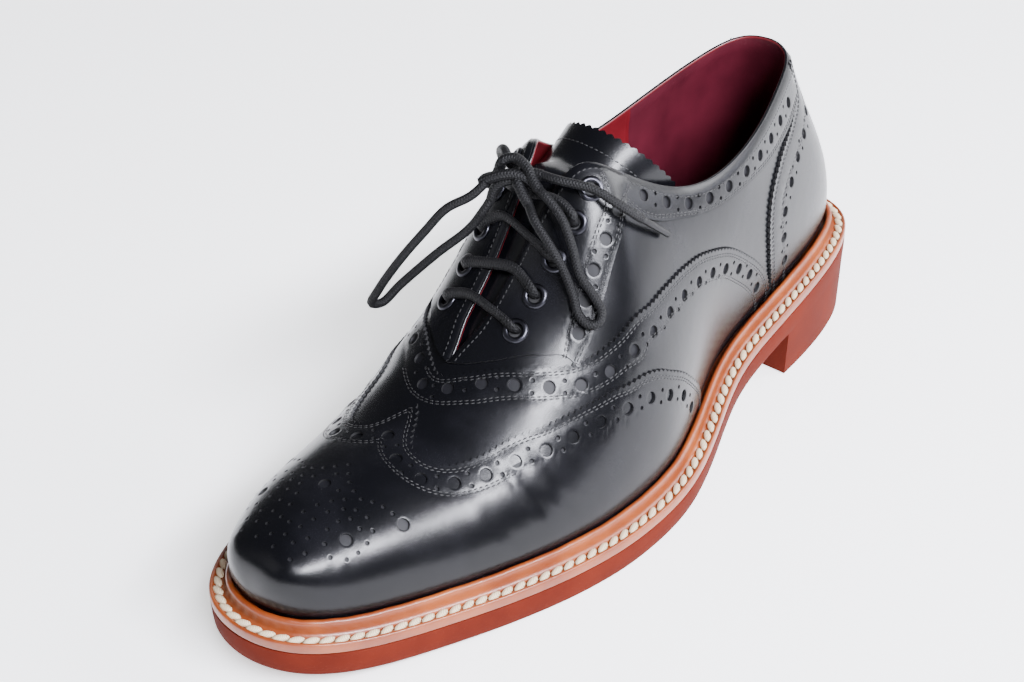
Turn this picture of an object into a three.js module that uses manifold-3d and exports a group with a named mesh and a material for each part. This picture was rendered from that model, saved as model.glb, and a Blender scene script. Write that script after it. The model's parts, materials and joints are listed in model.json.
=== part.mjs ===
// A left lace-up shoe with a winged toe cap, standing empty on its heel and forefoot.
// Millimetres, +Z up. The toe points to -Y, the heel to +Y and the outer (lateral) side to +X.
// The origin lies on the floor, in the middle of the sole's length and width.
import * as THREE from 'three';
import { mergeVertices } from 'three/addons/utils/BufferGeometryUtils.js';
import Module from 'manifold-3d';

const wasm = await Module();
wasm.setup();

// Driving sizes
const soleLength = 305;
const soleWidth = 105.5; // across the ball, welt included
const heelLift = 22.4; // how far the heel block raises the sole
const heelLength = 68; // back of the heel to its breast
const heelTaper = 1.2; // how far the block draws in down to the floor
const toeSpring = 7.9; // how far the toe stands off the floor
const outsoleDepth = 8.6;
const weltDepth = 3.6;
const weltMargin = 8; // edge of the welt to the visible foot of the upper
const weltRimHeight = 3.9; // raised inner rim of the welt
const weltRimWidth = 2.4;
const weltGroove = 0.7; // depth of the channel the thick stitches lie in
const footRise = 4.2; // visible foot of the upper over the top of the welt
const throatHeight = 98; // top of the facings over the foot of the upper
const upperWall = 2;
const skinBack = 0.6; // the plain quarters lie this far inside the shape of the last
const overlayDepth = 1.1;
const capDepth = 1.9;
const insoleDepth = 6;
const tongueDepth = 1.8;
const gap = 0.3; // between pieces that meet
const eyeletBore = 2.25; // radius
const eyeletBarrel = 0.35;
const eyeletFlange = 3.75; // radius
const eyeletFlangeDepth = 0.6;
const eyeletStand = 0.6; // the flange stands this far off the facing
const laceRadius = 1.5;
const tipRadius = 1.1;

const edgeDepth = outsoleDepth + gap + weltDepth;

// One row for each section of the last, from the back of the heel to the tip of the toe.
// along, topAlong: shares of soleLength.
// lateral, medial, topMiddle, topHalf, bulge, shoulder: shares of soleWidth, outwards from the axis.
// lift, spring: shares of heelLift and toeSpring.
// top, dip, wall, back, neck: shares of throatHeight, measured from the foot of the upper.
const columns = [
  'along', 'lateral', 'medial', 'lift', 'spring', 'topAlong', 'topMiddle', 'topHalf',
  'top', 'dip', 'wall', 'bulge', 'shoulder', 'back', 'neck',
];
const sections = [
  [0.000, -0.051, 0.051, 1.000, 0.00, 0.092, -0.076, 0.000, 0.714, 0.000, 0.281, 0.023, 0.000, 0.041, 0.245],
  [0.022, 0.136, 0.246, 0.996, 0.00, 0.107, -0.080, 0.112, 0.701, -0.004, 0.276, 0.022, 0.047, 0.031, 0.245],
  [0.080, 0.237, 0.336, 0.946, 0.00, 0.157, -0.070, 0.178, 0.679, -0.004, 0.276, 0.022, 0.047, 0.010, 0.224],
  [0.160, 0.292, 0.375, 0.870, 0.00, 0.220, -0.045, 0.221, 0.661, -0.006, 0.270, 0.021, 0.044, 0.000, 0.224],
  [0.250, 0.322, 0.368, 0.714, 0.00, 0.289, -0.019, 0.246, 0.669, -0.009, 0.276, 0.018, 0.045, 0.000, 0.204],
  [0.340, 0.357, 0.337, 0.491, 0.00, 0.356, -0.012, 0.249, 0.705, -0.010, 0.276, 0.010, 0.064, 0.000, 0.184],
  [0.430, 0.453, 0.337, 0.268, 0.00, 0.418, -0.014, 0.226, 0.801, -0.002, 0.286, 0.005, 0.092, 0.000, 0.163],
  [0.510, 0.529, 0.381, 0.125, 0.00, 0.475, -0.016, 0.170, 0.948, 0.000, 0.281, 0.009, 0.130, 0.000, 0.143],
  [0.580, 0.546, 0.436, 0.036, 0.00, 0.525, -0.015, 0.083, 1.000, 0.000, 0.276, 0.018, 0.184, 0.000, 0.102],
  [0.640, 0.535, 0.463, 0.000, 0.00, 0.590, -0.027, 0.043, 0.753, 0.000, 0.245, 0.021, 0.198, 0.000, 0.041],
  [0.700, 0.503, 0.466, 0.000, 0.00, 0.657, -0.027, 0.031, 0.557, 0.000, 0.199, 0.020, 0.212, 0.000, 0.020],
  [0.770, 0.448, 0.449, 0.000, 0.10, 0.736, -0.027, 0.000, 0.385, 0.000, 0.163, 0.021, 0.225, 0.000, 0.000],
  [0.840, 0.385, 0.409, 0.000, 0.33, 0.810, -0.022, 0.000, 0.317, 0.000, 0.153, 0.017, 0.210, 0.000, 0.000],
  [0.905, 0.320, 0.348, 0.000, 0.61, 0.879, -0.019, 0.000, 0.273, 0.000, 0.153, 0.015, 0.179, 0.000, 0.000],
  [0.955, 0.240, 0.267, 0.000, 0.82, 0.931, -0.017, 0.000, 0.219, 0.000, 0.148, 0.013, 0.138, 0.000, 0.000],
  [0.988, 0.131, 0.161, 0.000, 0.96, 0.966, -0.015, 0.000, 0.147, 0.000, 0.138, 0.013, 0.092, 0.000, 0.000],
  [1.000, -0.014, 0.014, 0.000, 1.00, 0.974, -0.014, 0.000, 0.000, 0.000, 0.000, 0.000, 0.000, 0.000, 0.000],
];
const tip = sections.length - 1; // section number at the tip of the toe
const throatBase = 10.5; // the section number where the two facings meet
const throatClosing = 0.7; // they draw together over this part of a section
const facingTop = 9; // the dip between the two sides ends here

// A smooth line through one column. At the heel and at the tip it goes on as its mirror
// image: 'even' repeats the rows, 'odd' turns them over.
function through(name, size, atHeel, atToe) {
  const column = columns.indexOf(name);
  const rows = sections.map((row) => row[column] * size);
  let control = rows.slice();
  const reach = (list, i) => {
    if (i < 0) return atHeel === 'odd' ? 2 * rows[0] - list[-i] : list[-i];
    if (i > tip) return atToe === 'odd' ? 2 * rows[tip] - list[2 * tip - i] : list[2 * tip - i];
    return list[i];
  };
  for (let round = 0; round < 40; round++) {
    control = control.map((value, i) => {
      const line = (reach(control, i - 1) + 4 * value + reach(control, i + 1)) / 6;
      return value + rows[i] - line;
    });
  }
  return (u) => {
    const i = Math.floor(u);
    const t = u - i;
    const a = (1 - t) ** 3;
    const b = 3 * t ** 3 - 6 * t ** 2 + 4;
    const c = -3 * t ** 3 + 3 * t ** 2 + 3 * t + 1;
    const d = t ** 3;
    return (a * reach(control, i - 1) + b * reach(control, i)
      + c * reach(control, i + 1) + d * reach(control, i + 2)) / 6;
  };
}
const along = through('along', soleLength, 'even', 'even');
const half = {
  lateral: through('lateral', soleWidth, 'odd', 'odd'),
  medial: through('medial', soleWidth, 'odd', 'odd'),
};
const lift = through('lift', heelLift, 'even', 'even');
const spring = through('spring', toeSpring, 'even', 'even');
const topAlong = through('topAlong', soleLength, 'even', 'even');
const topMiddle = through('topMiddle', soleWidth, 'even', 'even');
const topHalf = through('topHalf', soleWidth, 'odd', 'odd');
const top = through('top', throatHeight, 'even', 'odd');
const dip = through('dip', throatHeight, 'even', 'even');
const wall = through('wall', throatHeight, 'even', 'odd');
const bulge = through('bulge', soleWidth, 'even', 'odd');
const shoulder = through('shoulder', soleWidth, 'odd', 'odd');
const back = through('back', throatHeight, 'even', 'even');
const neck = through('neck', throatHeight, 'even', 'odd');

const outlineSamples = Array.from({ length: 20 * tip + 1 }, (_, i) => i / 20);
const axisShift = (Math.max(...outlineSamples.map(half.lateral))
  - Math.max(...outlineSamples.map(half.medial))) / 2;

// The section number at a distance from the back of the heel.
function sectionAt(from) {
  let [low, high] = [0, tip];
  for (let round = 0; round < 30; round++) {
    const middle = (low + high) / 2;
    if (along(middle) < from) low = middle;
    else high = middle;
  }
  return low;
}
function rise(from) {
  const u = sectionAt(from);
  return Math.max(0, lift(u) + spring(u));
}

// From distances across (to the lateral side), along (from the heel) and up to a point of the part.
const place = (across, from, up) => new THREE.Vector3(across - axisShift, soleLength / 2 - from, up);
const weltTop = (u) => edgeDepth + Math.max(0, lift(u) + spring(u));

// A place round the shoe is a number q: 0 at the back of the heel, tip at the toe, positive on
// the lateral side and negative on the medial side.
const sideOf = (q) => (q < 0 ? -1 : 1);
function edgeAt(q) {
  const u = Math.abs(q);
  const side = sideOf(q);
  const across = side > 0 ? half.lateral : half.medial;
  const step = 1e-3;
  const run = new THREE.Vector2(
    side * (across(u + step) - across(u - step)),
    along(u + step) - along(u - step),
  ).normalize();
  return { across: side * across(u), from: along(u), outX: side * run.y, outS: -side * run.x };
}

// A point moved outwards from the sole's edge, at a height over the bottom of the outsole.
function solePoint(q, outwards, up) {
  const edge = edgeAt(q);
  const from = edge.from + outwards * edge.outS;
  return place(edge.across + outwards * edge.outX, from, rise(from) + up);
}

// The shape of the last: v runs from the foot of the upper (0) to the topline, to the front
// edge of the facings or to the ridge of the vamp (1).
function last(q, v) {
  const u = Math.abs(q);
  const side = sideOf(q);
  const edge = edgeAt(q);
  const foot = weltTop(u) + footRise;
  const across = edge.across - weltMargin * edge.outX;
  const from = edge.from - weltMargin * edge.outS;
  const closing = THREE.MathUtils.smoothstep(throatBase - u, 0, throatClosing);
  const spread = Math.max(0, topHalf(u)) * closing;
  const lower = u < facingTop ? side * dip(u) : 0;
  const low = place(across, from, foot);
  const high = place(topMiddle(u) + side * spread, topAlong(u), foot + top(u) + lower);
  const nearLow = place(across + bulge(u) * edge.outX, from + bulge(u) * edge.outS, foot + wall(u));
  const nearHigh = high.clone().add(new THREE.Vector3(side * shoulder(u), back(u), -neck(u)));
  return new THREE.CubicBezierCurve3(low, nearLow, nearHigh, high).getPoint(v);
}

// The way out of the last at a place on it.
function outOf(q, v) {
  if (Math.abs(q) > tip - 0.05) {
    const edge = edgeAt(q);
    return new THREE.Vector3(edge.outX, -edge.outS, 0).normalize();
  }
  const onRidge = v > 0.999 && Math.abs(q) >= throatBase;
  if (onRidge && q < 0) return outOf(-q, v);
  const step = 2e-3;
  const v0 = Math.max(0, v - step);
  const v1 = Math.min(1, v + step);
  const run = last(q + step, v).sub(last(q - step, v));
  const rise = last(q, v1).sub(last(q, v0));
  const out = rise.cross(run).normalize();
  if (!onRidge) return out;
  const other = last(-q + step, v).sub(last(-q - step, v));
  const otherRise = last(-q, v1).sub(last(-q, v0));
  return out.add(otherRise.cross(other).normalize()).normalize();
}
const skin = (q, v, outwards) => last(q, v).addScaledVector(outOf(q, v), outwards);

// Solids
function outward(geometry) {
  geometry.deleteAttribute('normal');
  geometry.deleteAttribute('uv');
  const merged = mergeVertices(geometry, 1e-3);
  const index = Array.from(merged.index.array);
  const position = merged.attributes.position;
  const kept = [];
  let volume = 0;
  for (let i = 0; i < index.length; i += 3) {
    const [a, b, c] = index.slice(i, i + 3);
    if (a === b || b === c || c === a) continue;
    kept.push(a, b, c);
    const [p, q, r] = [a, b, c].map((n) => new THREE.Vector3().fromBufferAttribute(position, n));
    volume += p.dot(q.cross(r)) / 6;
  }
  if (volume < 0) kept.reverse();
  merged.setIndex(kept);
  return merged;
}
function fromFaces(points, faces) {
  const geometry = new THREE.BufferGeometry();
  geometry.setAttribute('position', new THREE.Float32BufferAttribute(points.flatMap((p) => p.toArray()), 3));
  geometry.setIndex(faces);
  return outward(geometry);
}
function toManifold(geometry) {
  return new wasm.Manifold(new wasm.Mesh({
    numProp: 3,
    vertProperties: new Float32Array(geometry.attributes.position.array),
    triVerts: new Uint32Array(geometry.index.array),
  }));
}
function fromManifold(solid) {
  const mesh = solid.getMesh();
  const geometry = new THREE.BufferGeometry();
  geometry.setAttribute('position', new THREE.BufferAttribute(new Float32Array(mesh.vertProperties), 3));
  geometry.setIndex(new THREE.BufferAttribute(new Uint32Array(mesh.triVerts), 1));
  return outward(geometry);
}

// A thick sheet: point(i, j, face) gives the outer face (0) and the inner face (1) of a grid.
// A sheet that is round joins its last column to its first.
function sheet(wide, high, point, round) {
  const across = round ? wide : wide + 1;
  const points = [];
  for (const face of [0, 1]) {
    for (let i = 0; i < across; i++) {
      for (let j = 0; j <= high; j++) points.push(point(i, j, face));
    }
  }
  const at = (i, j, face) => (face * across + (i % across)) * (high + 1) + j;
  const faces = [];
  const quad = (a, b, c, d) => faces.push(a, b, c, a, c, d);
  for (let i = 0; i < wide; i++) {
    for (let j = 0; j < high; j++) {
      quad(at(i, j, 0), at(i + 1, j, 0), at(i + 1, j + 1, 0), at(i, j + 1, 0));
      quad(at(i, j, 1), at(i, j + 1, 1), at(i + 1, j + 1, 1), at(i + 1, j, 1));
    }
    quad(at(i, 0, 0), at(i, 0, 1), at(i + 1, 0, 1), at(i + 1, 0, 0));
    quad(at(i, high, 0), at(i + 1, high, 0), at(i + 1, high, 1), at(i, high, 1));
  }
  if (!round) {
    for (let j = 0; j < high; j++) {
      quad(at(0, j, 0), at(0, j + 1, 0), at(0, j + 1, 1), at(0, j, 1));
      quad(at(wide, j, 0), at(wide, j, 1), at(wide, j + 1, 1), at(wide, j + 1, 0));
    }
  }
  return fromFaces(points, faces);
}

// Section numbers at which the wall of the upper is worked out, closer where it turns faster.
const stationsPerSection = 2;
const stations = Array.from(
  { length: stationsPerSection * tip + 1 },
  (_, i) => i / stationsPerSection,
);
const around = [...stations, ...stations.slice(1, -1).reverse().map((u) => -u)];
const ribSteps = 7;

// The wall between two distances from the last, open at the collar, throat and underneath.
// Over the vamp its two halves meet on the ridge, so its upper rim closes there.
function wallBetween(inner, outer, skirt) {
  const points = [];
  const index = new Map();
  const add = (key, point) => {
    if (!index.has(key)) {
      index.set(key, points.length);
      points.push(point);
    }
    return index.get(key);
  };
  const vertex = (i, j, face) => {
    const q = around[i % around.length];
    const distance = face === 0 ? outer : inner;
    const u = Math.abs(q);
    if (j < 0) {
      const foot = skin(q, 0, distance);
      return add(`${q} foot ${face}`, foot.setZ(rise(soleLength / 2 - foot.y) + edgeDepth + skirt));
    }
    if (u === tip) return add(`tip ${face}`, skin(tip, 0, distance));
    const ridge = j === ribSteps && u >= throatBase;
    const key = ridge ? `${u} ridge ${face}` : `${q} ${j} ${face}`;
    return add(key, skin(ridge ? u : q, j / ribSteps, distance));
  };
  const faces = [];
  const quad = (a, b, c, d) => {
    if (new Set([a, b, c]).size === 3) faces.push(a, b, c);
    if (new Set([a, c, d]).size === 3) faces.push(a, c, d);
  };
  for (let i = 0; i < around.length; i++) {
    const u = Math.abs(around[i]);
    const next = Math.abs(around[(i + 1) % around.length]);
    for (let j = -1; j < ribSteps; j++) {
      quad(vertex(i, j, 0), vertex(i + 1, j, 0), vertex(i + 1, j + 1, 0), vertex(i, j + 1, 0));
      quad(vertex(i, j, 1), vertex(i, j + 1, 1), vertex(i + 1, j + 1, 1), vertex(i + 1, j, 1));
    }
    quad(vertex(i, -1, 0), vertex(i, -1, 1), vertex(i + 1, -1, 1), vertex(i + 1, -1, 0));
    if (Math.min(u, next) < throatBase) {
      const j = ribSteps;
      quad(vertex(i, j, 0), vertex(i + 1, j, 0), vertex(i + 1, j, 1), vertex(i, j, 1));
    }
  }
  return fromFaces(points, faces);
}

// Lines on the last, as rows of section number and share of the rib's height.
// The lateral half is given; the medial half is its mirror.
const foot = 0.016; // overlays end this share of the rib over the rim of the welt
const wingEdge = [
  [5.85, foot], [6.0, 0.12], [6.5, 0.26], [7.1, 0.33], [7.9, 0.36], [8.5, 0.39], [9.2, 0.44], [9.9, 0.50],
  [10.4, 0.55], [10.9, 0.60], [11.3, 0.67], [11.5, 0.76], [11.5, 0.86], [11.35, 0.91], [11.15, 0.95], [11, 1],
];
const vampEdge = [
  [3.80, foot], [3.85, 0.07], [3.95, 0.16], [4.3, 0.35], [4.85, 0.55], [5.5, 0.625], [6.1, 0.61], [6.8, 0.555],
  [7.45, 0.51], [8.0, 0.49], [8.5, 0.50], [9.0, 0.55], [9.55, 0.65], [10.0, 0.77], [10.35, 0.88], [10.55, 1],
];
const counterEdge = [
  [3.70, foot], [3.78, 0.22], [3.70, 0.43], [3.45, 0.59], [2.90, 0.71], [2.12, 0.77], [1.50, 0.84], [1.25, 1],
];
const facingEdge = [[8.78, 0.54], [8.55, 0.565], [8.1, 0.63], [7.6, 0.72], [7.25, 0.85], [7.0, 1]];
const bandEdge = [
  [1.66, 0.835], [2.2, 0.80], [2.9, 0.795], [3.4, 0.80], [4.2, 0.825], [5.0, 0.84], [5.9, 0.838],
  [6.7, 0.81], [7.2, 0.79],
];

// About how far a whole section number and a whole rib reach on the last.
const sectionReach = 19;
const ribReach = 85;

// A line beside another, that much nearer to the heel or to the collar.
function beside(line, distance) {
  return line.map(([u, v], i) => {
    const [u0, v0] = line[Math.max(0, i - 1)];
    const [u1, v1] = line[Math.min(line.length - 1, i + 1)];
    const run = new THREE.Vector2((u1 - u0) * sectionReach, (v1 - v0) * ribReach).normalize();
    return [u - (distance * run.y) / sectionReach, v + (distance * run.x) / ribReach];
  });
}

// A place along such a line, t from 0 to 1.
function onLine(line, t) {
  const points = line.map(([u, v]) => new THREE.Vector3(u, v * 10, 0));
  const curve = new THREE.CatmullRomCurve3(points, false, 'centripetal');
  const at = curve.getPoint(t);
  return { u: at.x, v: THREE.MathUtils.clamp(at.y / 10, 0, 1) };
}
const mix = THREE.MathUtils.lerp;

// A thick block over a patch of the last. place(a, b) gives q and v, or u and a share over
// the ridge from the lateral foot (0) to the medial foot (2).
const cutDepth = 4;
function blockOver(wide, high, at) {
  return toManifold(sheet(wide, high, (i, j, face) => {
    const { q, v } = at(i / wide, j / high);
    return skin(q, v, face === 0 ? cutDepth : -cutDepth);
  }, false));
}
const overRidge = (u, share) => (share > 1 ? { q: -u, v: 2 - share } : { q: u, v: share });

const overlayInner = -skinBack + gap;
const overlayOuter = overlayInner + overlayDepth;
const overlaySheet = toManifold(wallBetween(overlayInner, overlayOuter, gap));
const capSheet = toManifold(wallBetween(overlayInner, overlayInner + capDepth, gap));
const seam = 0.016; // a gap's width in section numbers
const lineSteps = 44;

// Goes along a line over the ridge, from the lateral foot to the medial one.
function acrossLine(line, t) {
  const lateral = t <= 0.5;
  const { u, v } = onLine(line, lateral ? 2 * t : 2 - 2 * t);
  return { u, share: lateral ? v : 2 - v };
}
function wingCap() {
  const block = blockOver(lineSteps, 10, (a, b) => {
    const edge = acrossLine(wingEdge, a);
    const front = mix(foot, 2 - foot, a);
    return overRidge(mix(edge.u, tip, b), mix(edge.share, front, b));
  });
  return fromManifold(capSheet.intersect(block));
}
function vamp() {
  const edge = beside(wingEdge, gap + 0.2);
  const block = blockOver(lineSteps, 6, (a, b) => {
    const rear = acrossLine(vampEdge, a);
    const front = acrossLine(edge, a);
    return overRidge(mix(rear.u, front.u, b), mix(rear.share, front.share, b));
  });
  return fromManifold(overlaySheet.intersect(block));
}
function counter() {
  const block = blockOver(18, 10, (a, b) => {
    const edge = onLine(counterEdge, b);
    return { q: mix(-edge.u, edge.u, a), v: edge.v };
  });
  return fromManifold(overlaySheet.intersect(block));
}
function collarBand(side) {
  const block = blockOver(16, 3, (a, b) => {
    const low = onLine(bandEdge, a);
    const topU = mix(counterEdge.at(-1)[0] + 3 * seam, facingEdge.at(-1)[0] - seam, a);
    return { q: side * mix(low.u, topU, b), v: mix(low.v, 1, b) };
  });
  return fromManifold(overlaySheet.intersect(block));
}

// Eyelets and lace
const eyelets = [[9.6, 0.831], [9.13, 0.832], [8.72, 0.835], [8.3, 0.842], [7.88, 0.885]];
const bores = [];
const eyeletFrames = [];
for (const side of [1, -1]) {
  eyelets.forEach(([u, v], row) => {
    const at = last(side * u, v);
    const out = outOf(side * u, v);
    eyeletFrames.push({ side, row, at, out });
  });
}
const turned = (out) => new THREE.Quaternion().setFromUnitVectors(new THREE.Vector3(0, 1, 0), out);
const boreSides = 12;
const boreRadius = (eyeletBore + eyeletBarrel + gap) / Math.cos(Math.PI / boreSides);
for (const { at, out } of eyeletFrames) {
  const bore = new THREE.CylinderGeometry(boreRadius, boreRadius, 12, boreSides);
  bore.applyQuaternion(turned(out));
  bore.translate(at.x, at.y, at.z);
  bores.push(toManifold(outward(bore)));
}
const pierced = (solid) => bores.reduce((left, bore) => left.subtract(bore), solid);

function facing(side) {
  const front = beside(vampEdge, gap + 0.3).slice(11);
  const throat = throatBase - 0.15;
  const block = blockOver(24, 5, (a, b) => {
    const behind = a < 0.5;
    const low = behind ? onLine(facingEdge, 1 - a / 0.5) : onLine(front, (a - 0.5) / 0.5);
    const topU = mix(facingEdge.at(-1)[0], throat, a);
    return { q: side * Math.min(throat, mix(low.u, topU, b)), v: mix(low.v, 1, b) };
  });
  return fromManifold(pierced(overlaySheet.intersect(block)));
}

function eyelet() {
  const under = -skinBack - upperWall - gap;
  const seat = overlayOuter + eyeletStand;
  const crown = seat + eyeletFlangeDepth;
  const outerBarrel = eyeletBore + eyeletBarrel;
  const profile = [
    [eyeletBore, under], [outerBarrel, under], [outerBarrel, seat], [eyeletFlange, seat],
    [eyeletFlange, seat + 0.2], [mix(outerBarrel, eyeletFlange, 0.7), crown],
    [outerBarrel, crown], [eyeletBore, crown - 0.2], [eyeletBore, under],
  ];
  return outward(new THREE.LatheGeometry(profile.map(([r, y]) => new THREE.Vector2(r, y)), 12));
}

function cord(points, radius, steps) {
  const curve = new THREE.CatmullRomCurve3(points, false, 'centripetal');
  const section = new THREE.Shape().absarc(0, 0, radius, 0, 2 * Math.PI, false);
  return outward(new THREE.ExtrudeGeometry(section, { steps, curveSegments: 4, extrudePath: curve }));
}
const crown = overlayOuter + eyeletStand + eyeletFlangeDepth + gap + laceRadius;
function laceBar(row) {
  const [u, v] = eyelets[row];
  const seat = overlayOuter + gap + laceRadius;
  const halfRoute = [[v - 0.012, crown - 0.2], [v + 0.03, crown + 0.1], [v + 0.07, seat + 0.7], [0.985, seat + 0.35]];
  const route = (side) => halfRoute.map(([share, height]) => skin(side * u, share, height));
  return cord([...route(1), ...route(-1).reverse()], laceRadius, 16);
}

// Loose lace, in rows of distances across (lateral side first), along and up, in mm.
const laceRoutes = {
  lace_knot: { radius: 3.6, steps: 3, points: [[-9.5, 175.5, 112.4], [-5.5, 171, 113.2], [-2, 166.5, 113.5]] },
  lace_rise_lateral: {
    radius: laceRadius,
    steps: 6,
    points: [[16.2, 169.2, 106.6], [11.6, 168.8, 109.2], [6.2, 169.2, 109.8], [0.8, 169.8, 109]],
  },
  lace_rise_medial: {
    radius: laceRadius,
    steps: 6,
    points: [[-21.8, 169.2, 106], [-17.4, 169, 109], [-12.8, 169.8, 109.6], [-8.4, 170.2, 108.8]],
  },
  lace_loop_medial: {
    radius: laceRadius,
    steps: 34,
    points: [
      [-11.2, 179, 113], [-14, 183, 109], [-20, 188.5, 104.5], [-25, 193.4, 96.8], [-31, 200.4, 86.2],
      [-36.5, 205, 75.5], [-38.6, 206.3, 70.4], [-37.2, 203, 69.6], [-33.5, 197.6, 75.4], [-24.5, 189.5, 86.6],
      [-16.5, 182, 95.6], [-12.3, 178.9, 103], [-11, 176.9, 106.4],
    ],
  },
  lace_loop_lateral: {
    radius: laceRadius,
    steps: 34,
    points: [
      [3.4, 171.6, 113], [8.2, 172.6, 111.8], [14.6, 172.8, 106.8], [19.9, 174, 98.6], [24.1, 175.4, 90.9],
      [28.9, 174.8, 85.2], [32.3, 174.8, 80.6], [32.8, 176.8, 77.6], [30.8, 179.2, 77.2], [27.5, 180.2, 80.1],
      [24.3, 179, 85.4], [19.6, 178.2, 92.8], [15.2, 178.9, 99.5], [8, 178, 105.8], [2.4, 174.4, 108],
    ],
  },
  lace_end_lateral: {
    radius: laceRadius,
    steps: 18,
    points: [
      [3, 168.4, 116], [9.3, 167.5, 115.9], [18.3, 162.4, 113.9], [25, 157.2, 108.3], [28.3, 148.9, 100.3],
      [29.8, 138, 90.7],
    ],
  },
  lace_end_medial: {
    radius: laceRadius,
    steps: 14,
    points: [[-9.6, 169, 115.6], [-15.5, 165, 117.2], [-23.5, 158.5, 111.5], [-28.5, 151, 102], [-31.5, 142, 91.5]],
  },
};
const looseLace = ({ points, radius, steps }) => (
  cord(points.map(([across, from, up]) => place(across, from, up)), radius, steps));

// Tongue: an arched sheet that follows the inside of the facings and rises past them.
// Under the facings a row has a section number, and v where its edges lie.
const tongueUnder = [[11.3, 0.80], [10.7, 0.78], [10.1, 0.74], [9.5, 0.71], [9.0, 0.69], [8.5, 0.68], [8.1, 0.69]];
const tongueDrop = 1.5; // clear space between the facings and the tongue
// Over them: along and middle (share of soleLength), up, half (share of soleWidth) and drop of the edges.
const tongueOver = [
  { along: 0.487, up: 1.137, half: 0.160, fall: 0.165, behind: 0.010 },
  { along: 0.459, up: 1.185, half: 0.163, fall: 0.175, behind: 0.030 },
];
function tongue() {
  const wide = 12;
  const inside = -skinBack - upperWall - tongueDrop;
  const under = ([u, edge]) => (share, face) => {
    const v = mix(1, edge, Math.abs(share));
    const distance = inside - (face === 0 ? 0 : tongueDepth);
    const at = (side) => skin(side * u, v, distance);
    if (share === 0) return at(1).lerp(at(-1), 0.5);
    return at(Math.sign(share));
  };
  const over = (row) => (share, face) => {
    const turn = (Math.PI / 2) * share;
    const thin = face === 0 ? 0 : tongueDepth;
    const half = row.half * soleWidth - thin;
    const fall = row.fall * throatHeight - thin * 0.4;
    return place(
      topMiddle(facingTop) + half * Math.sin(turn),
      (row.along - row.behind * (1 - Math.cos(turn))) * soleLength + thin * 0.3,
      row.up * throatHeight - thin - fall * (1 - Math.cos(turn)),
    );
  };
  const rows = [...tongueUnder.map(under), ...tongueOver.map(over)];
  const columnLine = (share, face) => (
    new THREE.CatmullRomCurve3(rows.map((row) => row(share, face)), false, 'centripetal'));
  const lines = [0, 1].map((face) => (
    Array.from({ length: wide + 1 }, (_, i) => columnLine(2 * (i / wide) - 1, face))));
  const high = 14;
  return sheet(wide, high, (i, j, face) => lines[face][i].getPoint(j / high), false);
}

// Sole pieces. A slab lies between the lateral and the medial line of the sole's edge; low and
// high give its faces as distances inwards from the edge and heights over the outsole's bottom.
const soleStations = Array.from({ length: 2 * tip + 1 }, (_, i) => i / 2);
function slab(list, faces, flatBottom, breast) {
  const across = 4;
  return sheet(list.length - 1, across, (i, j, face) => {
    const { inwards, up } = faces[face];
    const point = solePoint(-list[i], -inwards, up).lerp(solePoint(list[i], -inwards, up), j / across);
    point.setZ(rise(soleLength / 2 - point.y) + up);
    if (breast !== undefined) point.y = Math.max(point.y, soleLength / 2 - breast);
    if (flatBottom && face === 1) point.z = 0;
    return point;
  }, false);
}
const outsole = () => slab(soleStations, [{ inwards: 0, up: outsoleDepth }, { inwards: 0.6, up: 0 }], false);
function heel() {
  const breast = sectionAt(heelLength);
  const list = [...soleStations.filter((u) => u < breast - 0.1), breast];
  return slab(list, [{ inwards: 0, up: -gap }, { inwards: heelTaper, up: 0 }], true, heelLength);
}
const wallInset = weltMargin + skinBack + upperWall;
function insole() {
  const inwards = wallInset + 2 * gap;
  const up = outsoleDepth + gap;
  return slab(soleStations, [{ inwards, up: up + insoleDepth }, { inwards, up }], false);
}
function welt() {
  const rimInner = weltMargin + skinBack - gap;
  const rimOuter = rimInner - weltRimWidth;
  const section = [
    [0, -weltDepth], [0, -0.4], [0.4, 0], [1.6, 0], [2.0, -weltGroove],
    [rimOuter - 0.9, -weltGroove], [rimOuter - 0.3, 0.3], [rimOuter, weltRimHeight - 0.8],
    [rimOuter + 0.8, weltRimHeight], [rimInner, weltRimHeight], [rimInner, 0], [wallInset, 0],
    [wallInset, -weltDepth],
  ];
  const ring = around.length;
  const points = [];
  for (const q of around) {
    for (const [inwards, up] of section) points.push(solePoint(q, -inwards, edgeDepth + up));
  }
  const faces = [];
  for (let i = 0; i < ring; i++) {
    for (let j = 0; j < section.length; j++) {
      const k = (j + 1) % section.length;
      const n = (i + 1) % ring;
      const [a, b, c, d] = [[i, j], [n, j], [n, k], [i, k]].map(([x, y]) => x * section.length + y);
      faces.push(a, b, c, a, c, d);
    }
  }
  return fromFaces(points, faces);
}

// Materials
const paint = (color, roughness, metalness) => new THREE.MeshStandardMaterial({ color, roughness, metalness });
const blackCalf = () => paint(0x14141a, 0.35, 0);
const redRubber = () => paint(0x9a3a26, 0.7, 0);
const tanLeather = () => paint(0xc9743c, 0.5, 0);
const redLining = () => paint(0x7a1a2a, 0.7, 0);
const waxedCotton = () => paint(0x1b1b1e, 0.6, 0);
const gunmetal = () => paint(0x4a4a50, 0.3, 1);

const shoe = new THREE.Group();
function add(name, geometry, material) {
  const mesh = new THREE.Mesh(geometry, material);
  mesh.name = name;
  shoe.add(mesh);
  return mesh;
}

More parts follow.
